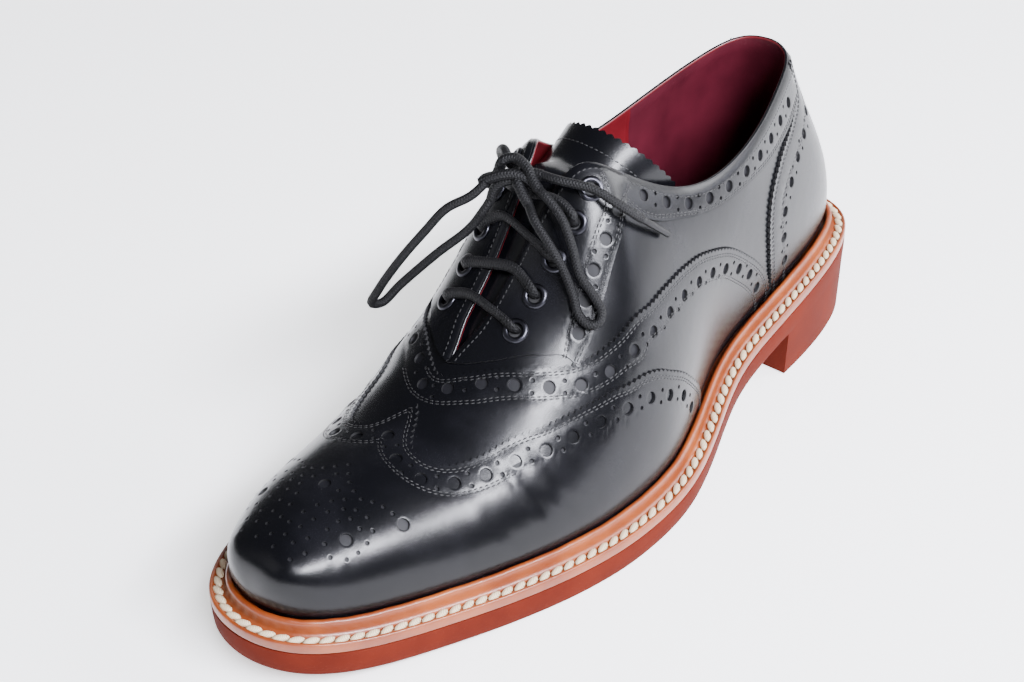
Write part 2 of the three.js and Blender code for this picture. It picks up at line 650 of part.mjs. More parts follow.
add('outsole', outsole(), redRubber());
add('heel', heel(), redRubber());
add('welt', welt(), tanLeather());
add('insole', insole(), redLining());
const upperShell = toManifold(wallBetween(-skinBack - upperWall, -skinBack, gap));
add('upper', fromManifold(pierced(upperShell)), blackCalf());
add('tongue', tongue(), blackCalf());
add('wing_cap', wingCap(), blackCalf());
add('vamp', vamp(), blackCalf());
add('counter', counter(), blackCalf());
for (const [side, name] of [[1, 'lateral'], [-1, 'medial']]) {
  add(`facing_${name}`, facing(side), blackCalf());
  add(`collar_band_${name}`, collarBand(side), blackCalf());
}
for (const { side, row, at, out } of eyeletFrames) {
  const ring = add(`eyelet_${side > 0 ? 'lateral' : 'medial'}_${row + 1}`, eyelet(), gunmetal());
  ring.position.copy(at);
  ring.quaternion.copy(turned(out));
}
for (const row of [0, 1, 2]) add(`lace_bar_${row + 1}`, laceBar(row), waxedCotton());
for (const [name, route] of Object.entries(laceRoutes)) add(name, looseLace(route), waxedCotton());

export default shoe;
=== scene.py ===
import json
import math
import bpy
import numpy as np
from mathutils import Matrix, Vector, kdtree
from mathutils.geometry import delaunay_2d_cdt

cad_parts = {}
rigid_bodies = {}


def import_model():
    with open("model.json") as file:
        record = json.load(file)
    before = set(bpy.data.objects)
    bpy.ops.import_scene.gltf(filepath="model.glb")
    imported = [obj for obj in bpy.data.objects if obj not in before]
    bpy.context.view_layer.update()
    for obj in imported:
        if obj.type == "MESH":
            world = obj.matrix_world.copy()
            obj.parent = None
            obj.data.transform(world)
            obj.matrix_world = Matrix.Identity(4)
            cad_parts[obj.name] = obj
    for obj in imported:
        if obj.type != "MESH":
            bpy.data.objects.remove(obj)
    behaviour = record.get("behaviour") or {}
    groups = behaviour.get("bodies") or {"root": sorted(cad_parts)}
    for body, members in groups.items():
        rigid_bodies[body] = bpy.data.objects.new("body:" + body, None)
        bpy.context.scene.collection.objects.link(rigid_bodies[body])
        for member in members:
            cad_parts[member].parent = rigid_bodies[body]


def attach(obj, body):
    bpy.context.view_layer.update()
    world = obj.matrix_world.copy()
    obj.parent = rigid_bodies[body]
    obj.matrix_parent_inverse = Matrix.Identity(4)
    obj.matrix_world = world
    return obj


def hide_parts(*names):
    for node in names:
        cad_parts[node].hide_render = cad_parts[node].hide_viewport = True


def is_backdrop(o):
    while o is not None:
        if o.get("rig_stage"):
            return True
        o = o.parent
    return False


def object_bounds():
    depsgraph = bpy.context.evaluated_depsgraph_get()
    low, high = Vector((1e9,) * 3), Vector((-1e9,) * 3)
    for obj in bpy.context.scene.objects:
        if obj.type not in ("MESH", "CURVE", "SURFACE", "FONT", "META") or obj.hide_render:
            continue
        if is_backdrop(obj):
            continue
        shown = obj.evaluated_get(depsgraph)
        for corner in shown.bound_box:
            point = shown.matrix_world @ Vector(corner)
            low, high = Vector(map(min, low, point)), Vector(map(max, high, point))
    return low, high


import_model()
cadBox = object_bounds()
print("frame loaded")

# The camera stands where the photograph was taken, in millimetres and degrees
camera = {
    "azimuth": 42.555,
    "elevation": 33.647,
    "roll": -1.715,
    "distance": 623.4,
    "target": (-5.66, -27.15, 57.61),
    "lens": 67.03,
}


def makeCamera():
    azimuth, elevation, roll = (math.radians(camera[k]) for k in ("azimuth", "elevation", "roll"))
    level = math.cos(elevation)
    back = Vector((math.sin(azimuth) * level, -math.cos(azimuth) * level, math.sin(elevation)))
    right = Vector((math.cos(azimuth), math.sin(azimuth), 0))
    up = back.cross(right)
    sideways = math.cos(roll) * right + math.sin(roll) * up
    upwards = -math.sin(roll) * right + math.cos(roll) * up
    data = bpy.data.cameras.new("camera")
    data.lens = camera["lens"]
    data.sensor_width = 36
    data.clip_start = 0.01
    data.clip_end = 50
    obj = bpy.data.objects.new("camera", data)
    bpy.context.collection.objects.link(obj)
    spot = (Vector(camera["target"]) + back * camera["distance"]) / 1000
    obj.matrix_world = Matrix.Translation(spot) @ Matrix((sideways, upwards, back)).transposed().to_4x4()
    bpy.context.scene.camera = obj


makeCamera()

# The shape of the last, as in the CAD source: the same sizes and the same rows, in millimetres
sizes = {
    "soleLength": 305,
    "soleWidth": 105.5,
    "heelLift": 22.4,
    "heelLength": 68,
    "heelTaper": 1.2,
    "toeSpring": 7.9,
    "outsoleDepth": 8.6,
    "weltDepth": 3.6,
    "weltMargin": 8,
    "gap": 0.3,
    "footRise": 4.2,
    "throatHeight": 98,
    "throatBase": 10.5,  # section numbers
    "throatClosing": 0.7,
    "facingTop": 9,
    "skirtReach": 35,  # how far a whole share goes below the foot, and how much it leans
    "skirtLean": 0.25,
}
columns = (
    "along lateral medial lift spring topAlong topMiddle topHalf top dip wall bulge shoulder back neck"
).split()
sections = np.array([
    [0.000, -0.051, 0.051, 1.000, 0.00, 0.092, -0.076, 0.000, 0.714, 0.000, 0.281, 0.023, 0.000, 0.041, 0.245],
    [0.022, 0.136, 0.246, 0.996, 0.00, 0.107, -0.080, 0.112, 0.701, -0.004, 0.276, 0.022, 0.047, 0.031, 0.245],
    [0.080, 0.237, 0.336, 0.946, 0.00, 0.157, -0.070, 0.178, 0.679, -0.004, 0.276, 0.022, 0.047, 0.010, 0.224],
    [0.160, 0.292, 0.375, 0.870, 0.00, 0.220, -0.045, 0.221, 0.661, -0.006, 0.270, 0.021, 0.044, 0.000, 0.224],
    [0.250, 0.322, 0.368, 0.714, 0.00, 0.289, -0.019, 0.246, 0.669, -0.009, 0.276, 0.018, 0.045, 0.000, 0.204],
    [0.340, 0.357, 0.337, 0.491, 0.00, 0.356, -0.012, 0.249, 0.705, -0.010, 0.276, 0.010, 0.064, 0.000, 0.184],
    [0.430, 0.453, 0.337, 0.268, 0.00, 0.418, -0.014, 0.226, 0.801, -0.002, 0.286, 0.005, 0.092, 0.000, 0.163],
    [0.510, 0.529, 0.381, 0.125, 0.00, 0.475, -0.016, 0.170, 0.948, 0.000, 0.281, 0.009, 0.130, 0.000, 0.143],
    [0.580, 0.546, 0.436, 0.036, 0.00, 0.525, -0.015, 0.083, 1.000, 0.000, 0.276, 0.018, 0.184, 0.000, 0.102],
    [0.640, 0.535, 0.463, 0.000, 0.00, 0.590, -0.027, 0.043, 0.753, 0.000, 0.245, 0.021, 0.198, 0.000, 0.041],
    [0.700, 0.503, 0.466, 0.000, 0.00, 0.657, -0.027, 0.031, 0.557, 0.000, 0.199, 0.020, 0.212, 0.000, 0.020],
    [0.770, 0.448, 0.449, 0.000, 0.10, 0.736, -0.027, 0.000, 0.385, 0.000, 0.163, 0.021, 0.225, 0.000, 0.000],
    [0.840, 0.385, 0.409, 0.000, 0.33, 0.810, -0.022, 0.000, 0.317, 0.000, 0.153, 0.017, 0.210, 0.000, 0.000],
    [0.905, 0.320, 0.348, 0.000, 0.61, 0.879, -0.019, 0.000, 0.273, 0.000, 0.153, 0.015, 0.179, 0.000, 0.000],
    [0.955, 0.240, 0.267, 0.000, 0.82, 0.931, -0.017, 0.000, 0.219, 0.000, 0.148, 0.013, 0.138, 0.000, 0.000],
    [0.988, 0.131, 0.161, 0.000, 0.96, 0.966, -0.015, 0.000, 0.147, 0.000, 0.138, 0.013, 0.092, 0.000, 0.000],
    [1.000, -0.014, 0.014, 0.000, 1.00, 0.974, -0.014, 0.000, 0.000, 0.000, 0.000, 0.000, 0.000, 0.000, 0.000],
])
tip = len(sections) - 1


def through(name, size, atHeel, atToe):
    rows = sections[:, columns.index(name)] * size
    control = rows.copy()

    def reach(c):
        low = [2 * rows[0] - c[k] if atHeel == "odd" else c[k] for k in (3, 2, 1)]
        high = [2 * rows[-1] - c[-1 - k] if atToe == "odd" else c[-1 - k] for k in (1, 2, 3)]
        return np.concatenate([low, c, high])

    for _ in range(40):
        c = reach(control)
        control = control + rows - (c[2:-4] + 4 * c[3:-3] + c[4:-2]) / 6
    control = reach(control)

    def at(u):
        u = np.asarray(u, float)
        i = np.clip(np.floor(u).astype(int), -1, tip)
        t = u - i
        a, b, c, d = (control[i + k] for k in (2, 3, 4, 5))
        first, second = (1 - t) ** 3 * a, (3 * t**3 - 6 * t**2 + 4) * b
        third, fourth = (-3 * t**3 + 3 * t**2 + 3 * t + 1) * c, t**3 * d
        return (first + second + third + fourth) / 6

    return at


def makeLines():
    plan = {
        "along": ("soleLength", "even", "even"), "lateral": ("soleWidth", "odd", "odd"),
        "medial": ("soleWidth", "odd", "odd"), "lift": ("heelLift", "even", "even"),
        "spring": ("toeSpring", "even", "even"), "topAlong": ("soleLength", "even", "even"),
        "topMiddle": ("soleWidth", "even", "even"), "topHalf": ("soleWidth", "odd", "odd"),
        "top": ("throatHeight", "even", "odd"), "dip": ("throatHeight", "even", "even"),
        "wall": ("throatHeight", "even", "odd"), "bulge": ("soleWidth", "even", "odd"),
        "shoulder": ("soleWidth", "odd", "odd"), "back": ("throatHeight", "even", "even"),
        "neck": ("throatHeight", "even", "odd"),
    }
    return {name: through(name, sizes[size], heel, toe) for name, (size, heel, toe) in plan.items()}


line = makeLines()
sampled = np.linspace(0, tip, 20 * tip + 1)
axisShift = (line["lateral"](sampled).max() - line["medial"](sampled).max()) / 2
edgeDepth = sizes["outsoleDepth"] + sizes["gap"] + sizes["weltDepth"]


def place(across, start, up):
    return np.stack(np.broadcast_arrays(across - axisShift, sizes["soleLength"] / 2 - start, up), -1)


def rise(u):
    return np.maximum(0, line["lift"](u) + line["spring"](u))


def riseAt(start):
    many = np.linspace(0, tip, 1601)
    return np.interp(start, line["along"](many), rise(many))


def edgeAt(q):
    q = np.asarray(q, float)
    u = np.abs(q)
    side = np.where(q < 0, -1.0, 1.0)
    h = 1e-3

    def across(w):
        return np.where(q < 0, line["medial"](w), line["lateral"](w))

    dx = side * (across(u + h) - across(u - h))
    ds = line["along"](u + h) - line["along"](u - h)
    m = np.hypot(dx, ds) + 1e-12
    return side * across(u), line["along"](u), side * ds / m, -side * dx / m


def solePoint(q, outwards, up):
    x, s, nx, ns = edgeAt(q)
    start = s + outwards * ns
    return place(x + outwards * nx, start, riseAt(start) + up)


# Creases where the shoe bends, from one place to another: section number, share over the ridge
# (0 at the lateral foot, 1 on the ridge, 2 at the medial foot), depth and width in millimetres
creases = [
    {"start": (10.62, 0.50), "end": (10.15, 0.20), "depth": 0.5, "width": 1.5},
    {"start": (10.25, 0.46), "end": (9.75, 0.16), "depth": 0.36, "width": 1.4},
    {"start": (11.05, 0.42), "end": (10.7, 0.12), "depth": 0.3, "width": 1.6},
    {"start": (10.62, 1.50), "end": (10.2, 1.80), "depth": 0.6, "width": 1.5},
    {"start": (11.0, 1.55), "end": (10.7, 1.84), "depth": 0.4, "width": 1.5},
]
reachOf = (19.0, 85.0)  # about what a section number and a whole rib are, in millimetres


def creaseDepth(u, share):
    total = np.zeros(np.shape(u))
    for fold in creases:
        a = np.array(fold["start"]) * reachOf
        b = np.array(fold["end"]) * reachOf
        run = b - a
        px = np.asarray(u) * reachOf[0] - a[0]
        py = np.asarray(share) * reachOf[1] - a[1]
        length = np.hypot(*run)
        t = (px * run[0] + py * run[1]) / length**2
        away = (px * run[1] - py * run[0]) / length + 1.2 * np.sin(t * math.pi)
        fade = np.exp(-((2 * np.clip(np.abs(t - 0.5), 0, 9)) ** 4))
        w = fold["width"]
        trough = np.exp(-((away / w) ** 2))
        ahead = np.exp(-(((away - 2.4 * w) / (1.3 * w)) ** 2))
        behind = np.exp(-(((away + 2.4 * w) / (1.3 * w)) ** 2))
        total += fold["depth"] * fade * (0.55 * ahead + 0.45 * behind - trough)
    return total


def lastShape(q, v):
    q, v = np.broadcast_arrays(np.asarray(q, float), np.asarray(v, float))
    u = np.abs(q)
    side = np.where(q < 0, -1.0, 1.0)
    x, s, nx, ns = edgeAt(q)
    foot = edgeDepth + rise(u) + sizes["footRise"]
    x = x - sizes["weltMargin"] * nx
    s = s - sizes["weltMargin"] * ns
    closing = np.clip((sizes["throatBase"] - u) / sizes["throatClosing"], 0, 1)
    closing = closing**2 * (3 - 2 * closing)
    spread = np.maximum(0, line["topHalf"](u)) * closing
    lower = np.where(u < sizes["facingTop"], side * line["dip"](u), 0)
    low = np.stack([x, s, foot], -1)
    high = np.stack([line["topMiddle"](u) + side * spread, line["topAlong"](u), foot + line["top"](u) + lower], -1)
    bulge = line["bulge"](u)
    nearLow = low + np.stack([bulge * nx, bulge * ns, line["wall"](u)], -1)
    nearHigh = high + np.stack([side * line["shoulder"](u), -line["back"](u), -line["neck"](u)], -1)
    w = np.clip(v, 0, 1)[..., None]
    b = (1 - w) ** 3 * low + 3 * w * (1 - w) ** 2 * nearLow + 3 * w * w * (1 - w) * nearHigh + w**3 * high
    under = np.minimum(v, 0)  # below the foot the leather goes on down behind the rim of the welt
    lean, reach = sizes["skirtLean"] * sizes["skirtReach"] * under, sizes["skirtReach"] * under
    b = b + np.stack([lean * nx, lean * ns, reach], -1)
    return place(b[..., 0], b[..., 1], b[..., 2])


def spot(u, share):
    share = np.asarray(share, float)
    over = share > 1
    return lastShape(np.where(over, -1.0, 1.0) * u, np.where(over, 2 - share, share))


def outOf(u, share):
    u = np.asarray(u, float)
    share = np.asarray(share, float)
    h = 2e-3
    a = spot(u + h, share) - spot(u - h, share)
    high = share + h
    low = share - h
    split = u < sizes["throatBase"]  # the two sides don't meet there
    high = np.where(split & (share <= 1) & (high > 1), 1, high)
    low = np.where(split & (share > 1) & (low <= 1), 1 + 1e-9, low)
    b = spot(u, high) - spot(u, low)
    n = np.cross(b, a)
    n /= np.linalg.norm(n, axis=-1, keepdims=True) + 1e-12
    _, _, nx, ns = edgeAt(np.where(share > 1, -1.0, 1.0) * u)
    flat = np.stack([nx, -ns, 0 * nx], -1)
    return np.where((u > tip - 0.05)[..., None], flat, n)


def skin(u, share, outwards):
    u, share, outwards = np.broadcast_arrays(*(np.asarray(k, float) for k in (u, share, outwards)))
    return spot(u, share) + outOf(u, share) * (outwards + creaseDepth(u, share))[..., None]


print("last worked out")


# Shader maths: a socket with the usual signs
class Wire:
    def __init__(self, finish, socket):
        self.finish = finish
        self.socket = socket

    def maths(self, operation, other=None):
        return self.finish.node("ShaderNodeMath", {"operation": operation}, {0: self, 1: other})

    def __add__(self, other):
        return self.maths("ADD", other)

    def __radd__(self, other):
        return self.maths("ADD", other)

    def __sub__(self, other):
        return self.maths("SUBTRACT", other)

    def __rsub__(self, other):
        return self.finish.node("ShaderNodeMath", {"operation": "SUBTRACT"}, {0: other, 1: self})

    def __mul__(self, other):
        return self.maths("MULTIPLY", other)

    def __rmul__(self, other):
        return self.maths("MULTIPLY", other)

    def smooth(self, low, high):
        return self.finish.node(
            "ShaderNodeMapRange", {"interpolation_type": "SMOOTHSTEP"}, {0: self, 1: low, 2: high})


class Finish:
    def __init__(self, name):
        self.material = bpy.data.materials.new(name)
        self.material.use_nodes = True
        self.nodes = self.material.node_tree.nodes
        self.links = self.material.node_tree.links
        self.shader = next(n for n in self.nodes if n.type == "BSDF_PRINCIPLED")

    def put(self, socket, value):
        if value is None:
            return
        if isinstance(value, Wire):
            self.links.new(value.socket, socket)
        else:
            socket.default_value = value

    def node(self, kind, settings=None, inputs=None, output=0):
        made = self.nodes.new(kind)
        for key, value in (settings or {}).items():
            setattr(made, key, value)
        for key, value in (inputs or {}).items():
            self.put(made.inputs[key], value)
        return Wire(self, made.outputs[output])

    def mix(self, factor, a, b):
        made = self.nodes.new("ShaderNodeMix")
        made.data_type = "RGBA"
        self.put(made.inputs[0], factor)
        for socket, value in ((made.inputs[6], a), (made.inputs[7], b)):
            self.put(socket, value if isinstance(value, Wire) else (*value, 1))
        return Wire(self, made.outputs[2])

    def objectPoint(self):
        return self.node("ShaderNodeTexCoord", output=3)

    def noise(self, scale, detail=3, roughness=0.55):
        return self.node("ShaderNodeTexNoise", {}, {
            "Vector": self.objectPoint(), "Scale": scale, "Detail": detail, "Roughness": roughness})

    def bump(self, height, strength, distance, normal=None):
        return self.node("ShaderNodeBump", {}, {
            "Height": height, "Strength": strength, "Distance": distance, "Normal": normal})

    def set(self, **values):
        names = {
            "color": "Base Color", "roughness": "Roughness", "metallic": "Metallic", "normal": "Normal",
            "coat": "Coat Weight", "coatRoughness": "Coat Roughness", "specular": "Specular IOR Level",
            "glow": "Emission Color", "glowStrength": "Emission Strength",
        }
        for key, value in values.items():
            if key in ("color", "glow") and not isinstance(value, Wire):
                value = (*value, 1)
            self.put(self.shader.inputs[names[key]], value)
        return self.material


# Each finish runs between a dark and a light colour
colours = {
    "calf": [(0.0016, 0.0017, 0.0024), (0.0045, 0.0045, 0.0060)],
    "backing": [(0.003, 0.003, 0.004), (0.006, 0.006, 0.008)],
    "edge": [(0.001, 0.001, 0.0012), (0.004, 0.004, 0.0045)],
    "blackThread": [(0.001, 0.001, 0.001), (0.004, 0.004, 0.0045)],
    "creamThread": [(0.40, 0.29, 0.165), (0.64, 0.53, 0.37)],
    "lining": [(0.075, 0.0018, 0.0042), (0.12, 0.0036, 0.0080)],
    # the heel lining behind the seam: a darker leather, made darker still as painted shade for the shadow inside
    # the heel
    "heelLiningAndShade": [(0.036, 0.0018, 0.0062), (0.072, 0.0050, 0.0130)],
    "sock": [(0.025, 0.0015, 0.003), (0.045, 0.003, 0.007)],
    "welt": [(0.155, 0.026, 0.0030), (0.235, 0.050, 0.0070)],
    "weltStain": (0.13, 0.022, 0.004),
    "rubber": [(0.064, 0.0074, 0.0033), (0.090, 0.0114, 0.0050)],
    "rubberSpeck": (0.12, 0.022, 0.010),
    "metal": [(0.020, 0.020, 0.025), (0.050, 0.050, 0.058)],
    "lace": [(0.0008, 0.0008, 0.0010), (0.0030, 0.0030, 0.0036)],
    "aglet": (0.004, 0.004, 0.0045),
}
leatherLooks = {
    "roughness": 0.25, "specular": 0.24, "coat": 0.05, "coatRoughness": 0.2, "grain": 2600, "pores": 1500,
}
braidLooks = {"strands": 6, "tightness": 2.2}


def calf():
    looks = leatherLooks
    f = Finish("polishedCalf")
    cloud = f.noise(38, 4)
    grain = f.noise(looks["grain"], 2, 0.6)
    pores = f.node(
        "ShaderNodeTexVoronoi", {"feature": "DISTANCE_TO_EDGE"},
        {"Vector": f.objectPoint(), "Scale": looks["pores"]})
    pull = f.noise(150, 3)
    height = grain * 0.5 + pores.smooth(0.0, 0.12) * 0.5
    fine = f.bump(height, 0.07, 0.0002)
    normal = f.bump(pull, 0.06, 0.0012, fine)
    return f.set(
        color=f.mix(cloud.smooth(0.42, 0.75), *colours["calf"]),
        roughness=looks["roughness"] + 0.11 * (cloud - 0.5) + 0.08 * (grain - 0.5),
        normal=normal, coat=looks["coat"], coatRoughness=looks["coatRoughness"], specular=looks["specular"])


def backing():
    # the leather seen at the bottom of the punched holes
    f = Finish("holeBacking")
    return f.set(color=f.mix(f.noise(600), *colours["backing"]), roughness=0.5, specular=0.22)


# dark ink of the cut edges; the same finish is painted shade on the disc that closes each eyelet
def edgeInkAndHoleShade():
    f = Finish("cutEdgeAndHoleShade")
    return f.set(color=f.mix(f.noise(900), *colours["edge"]), roughness=0.6)


def thread(name):
    f = Finish(name)
    twist = f.node("ShaderNodeTexWave", {"wave_type": "BANDS", "bands_direction": "DIAGONAL"}, {
        "Vector": f.objectPoint(), "Scale": 900, "Distortion": 2})
    return f.set(color=f.mix(twist, *colours[name]), roughness=0.6, normal=f.bump(twist, 0.3, 0.0002))


def liningLeather(name, pair):
    f = Finish(name)
    cloud = f.noise(30, 4)
    grain = f.noise(1800, 3)
    return f.set(
        color=f.mix(cloud.smooth(0.3, 0.75), *colours[pair]),
        roughness=0.46 + 0.14 * (cloud - 0.5), normal=f.bump(grain, 0.18, 0.0003), coat=0.1)


def weltLeather():
    f = Finish("weltLeather")
    cloud = f.noise(55, 5)
    grain = f.noise(900, 4)
    colour = f.mix(cloud.smooth(0.35, 0.7), *colours["welt"])
    colour = f.mix(f.noise(16, 3).smooth(0.55, 0.75) * 0.5, colour, colours["weltStain"])
    return f.set(
        color=colour, roughness=0.40 + 0.16 * (grain - 0.5), normal=f.bump(grain, 0.25, 0.0004), coat=0.15)


def soleRubber():
    f = Finish("soleRubber")
    cloud = f.noise(45, 5)
    speck = f.noise(1400, 3)
    colour = f.mix(cloud.smooth(0.3, 0.75), *colours["rubber"])
    colour = f.mix(speck.smooth(0.62, 0.72) * 0.4, colour, colours["rubberSpeck"])
    return f.set(
        color=colour, roughness=0.72 + 0.2 * (cloud - 0.5), normal=f.bump(speck, 0.16, 0.0003), specular=0.05)


def gunmetal():
    f = Finish("gunmetal")
    cloud = f.noise(400, 3)
    return f.set(color=f.mix(cloud, *colours["metal"]), metallic=1.0, roughness=0.24 + 0.15 * cloud)


def braid():
    # the UV map runs round the lace and along it; two sets of strands cross on it
    f = Finish("lacedBraid")
    around = f.node("ShaderNodeSeparateXYZ", {}, {0: f.node("ShaderNodeUVMap")})
    along = Wire(f, around.socket.node.outputs[1]) * braidLooks["tightness"]
    left = (around * braidLooks["strands"] + along).maths("MULTIPLY", 2 * math.pi).maths("SINE")
    right = (around * braidLooks["strands"] - along).maths("MULTIPLY", 2 * math.pi).maths("SINE")
    weave = (left * 0.5 + 0.5).maths("MAXIMUM", right * 0.5 + 0.5)
    fuzz = f.noise(2500, 3)
    return f.set(
        color=f.mix(weave * 0.7 + fuzz * 0.3, *colours["lace"]),
        roughness=0.50 + 0.12 * fuzz, specular=0.2, normal=f.bump(weave + 0.3 * fuzz, 0.7, 0.0003))


def tipPlastic():
    f = Finish("aglet")
    return f.set(color=colours["aglet"], roughness=0.30 + 0.1 * f.noise(300), specular=0.2)


def sockLeather():
    f = Finish("sockLeather")
    grain = f.noise(1500, 3)
    return f.set(color=f.mix(f.noise(30), *colours["sock"]), roughness=0.5, normal=f.bump(grain, 0.2, 0.0003))


finish = {
    "calf": calf(),
    "edge": edgeInkAndHoleShade(),
    "backing": backing(),
    "blackThread": thread("blackThread"),
    "creamThread": thread("creamThread"),
    "lining": liningLeather("liningLeather", "lining"),
    "heelLiningAndShade": liningLeather("heelLiningAndShade", "heelLiningAndShade"),
    "welt": weltLeather(),
    "rubber": soleRubber(),
    "metal": gunmetal(),
    "lace": braid(),
    "tip": tipPlastic(),
    "sock": sockLeather(),
}
print("finishes made")


def addPiece(name, points, faces, materials, nodes=(), indices=None, uvs=None, sharp=38):
    mesh = bpy.data.meshes.new(name)
    mesh.from_pydata((np.asarray(points) / 1000).tolist(), [], faces)
    for m in materials:
        mesh.materials.append(m)
    if indices is not None:
        mesh.polygons.foreach_set("material_index", indices)
    mesh.polygons.foreach_set("use_smooth", [True] * len(mesh.polygons))
    if uvs is not None:
        layer = mesh.uv_layers.new(name="UVMap")
        loop = np.empty(len(mesh.loops), int)
        mesh.loops.foreach_get("vertex_index", loop)
        layer.data.foreach_set("uv", np.asarray(uvs, float)[loop].ravel())
    mesh.validate()
    mesh.set_sharp_from_angle(angle=math.radians(sharp))
    mesh.update()
    obj = bpy.data.objects.new(name, mesh)
    bpy.context.collection.objects.link(obj)
    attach(obj, "root")
    if nodes:
        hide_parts(*nodes)
    return obj


def smoothLine(points, count):
    points = np.asarray(points, float)
    gaps = np.linalg.norm(np.diff(points, axis=0), axis=1) ** 0.5
    knots = np.concatenate([[0], np.cumsum(gaps)])
    p = np.vstack([2 * points[0] - points[1], points, 2 * points[-1] - points[-2]])
    k = np.concatenate([[knots[0] - gaps[0]], knots, [knots[-1] + gaps[-1]]])
    out = []
    for t in np.linspace(knots[0], knots[-1], count):
        i = min(max(np.searchsorted(knots, t, side="right") - 1, 0), len(points) - 2)
        p0, p1, p2, p3 = p[i:i + 4]
        t0, t1, t2, t3 = k[i:i + 4]
        a1 = (t1 - t) / (t1 - t0) * p0 + (t - t0) / (t1 - t0) * p1
        a2 = (t2 - t) / (t2 - t1) * p1 + (t - t1) / (t2 - t1) * p2
        a3 = (t3 - t) / (t3 - t2) * p2 + (t - t2) / (t3 - t2) * p3
        b1 = (t2 - t) / (t2 - t0) * a1 + (t - t0) / (t2 - t0) * a2
        b2 = (t3 - t) / (t3 - t1) * a2 + (t - t1) / (t3 - t1) * a3
        out.append((t2 - t) / (t2 - t1) * b1 + (t - t1) / (t2 - t1) * b2)
    return np.array(out)


def evenly(path, step):
    path = np.asarray(path, float)
    run = np.concatenate([[0], np.cumsum(np.linalg.norm(np.diff(path, axis=0), axis=1))])
    count = max(2, int(round(run[-1] / step)) + 1)
    at = np.linspace(0, run[-1], count)
    return np.stack([np.interp(at, run, path[:, k]) for k in range(path.shape[1])], -1), run[-1]


def tube(path, radius, flat=1.0):
    # a round or flattened lace with closed ends; the last column repeats the first, for the UV map
    path = np.asarray(path, float)
    n, sides = len(path), laceLooks["sides"]
    radius = np.broadcast_to(np.asarray(radius, float), (n,))
    tangent = np.gradient(path, axis=0)
    tangent /= np.linalg.norm(tangent, axis=1, keepdims=True)
    side = np.cross(tangent[0], [0, 0, 1.0])
    if np.linalg.norm(side) < 1e-3:
        side = np.array([1.0, 0, 0])
    frames = []
    for t in tangent:
        side = side - t * (side @ t)
        side /= np.linalg.norm(side)
        frames.append((side.copy(), np.cross(t, side)))
    run = np.concatenate([[0], np.cumsum(np.linalg.norm(np.diff(path, axis=0), axis=1))])
    points, uvs = [], []
    for i in range(n):
        a, b = frames[i]
        for j in range(sides + 1):
            turn = 2 * math.pi * j / sides
            points.append(path[i] + radius[i] * (math.cos(turn) * a + flat * math.sin(turn) * b))
            uvs.append((j / sides, run[i] / laceLooks["braidStep"]))
    faces = []
    w = sides + 1
    for i in range(n - 1):
        for j in range(sides):
            a, b = i * w + j, i * w + j + 1
            faces.append((a, b, b + w, a + w))
    for end, flip in ((0, True), (n - 1, False)):
        centre = len(points)
        points.append(path[end] + tangent[end] * (0.35 * radius[end] * (-1 if flip else 1)))
        uvs.append((0.5, run[end] / laceLooks["braidStep"]))
        for j in range(sides):
            a, b = end * w + j, end * w + j + 1
            faces.append((b, a, centre) if flip else (a, b, centre))
    return np.array(points), faces, uvs


# Lace, in rows of distances across, along and up, as in the CAD source
laceLooks = {"radius": 1.5, "tipRadius": 1.15, "tipLength": 15, "knotWide": 1.16, "sides": 14, "braidStep": 2.2}
laceRoutes = {
    "laceLoopMedial": ("lace_loop_medial", [
        [-11.2, 179, 113], [-14, 183, 109], [-20, 188.5, 104.5], [-25, 193.4, 96.8], [-31, 200.4, 86.2],
        [-36.5, 205, 75.5], [-38.6, 206.3, 70.4], [-37.2, 203, 69.6], [-33.5, 197.6, 75.4], [-24.5, 189.5, 86.6],
        [-16.5, 182, 95.6], [-12.3, 178.9, 103], [-11, 176.9, 106.4]]),
    "laceLoopLateral": ("lace_loop_lateral", [
        [3.4, 171.6, 113], [8.2, 172.6, 111.8], [14.6, 172.8, 106.8], [19.9, 174, 98.6], [24.1, 175.4, 90.9],
        [28.9, 174.8, 85.2], [32.3, 174.8, 80.6], [32.8, 176.8, 77.6], [30.8, 179.2, 77.2], [27.5, 180.2, 80.1],
        [24.3, 179, 85.4], [19.6, 178.2, 92.8], [15.2, 178.9, 99.5], [8, 178, 105.8], [2.4, 174.4, 108]]),
    "laceEndLateral": ("lace_end_lateral", [
        [3, 168.4, 116], [9.3, 167.5, 115.9], [18.3, 162.4, 113.9], [25, 157.2, 108.3], [28.3, 148.9, 100.3],
        [29.8, 138, 90.7]]),
    "laceEndMedial": ("lace_end_medial", [
        [-9.6, 169, 115.6], [-15.5, 165, 117.2], [-23.5, 158.5, 111.5], [-28.5, 151, 102], [-31.5, 142, 91.5]]),
}
laceRises = {
    "lace_rise_lateral": [[16.2, 169.2, 106.6], [11.6, 168.8, 109.2], [6.2, 169.2, 109.8], [0.8, 169.8, 109]],
    "lace_rise_medial": [[-21.8, 169.2, 106], [-17.4, 169, 109], [-12.8, 169.8, 109.6], [-8.4, 170.2, 108.8]],
}


def routed(rows):
    rows = np.array(rows, float)
    return place(rows[:, 0], rows[:, 1], rows[:, 2])


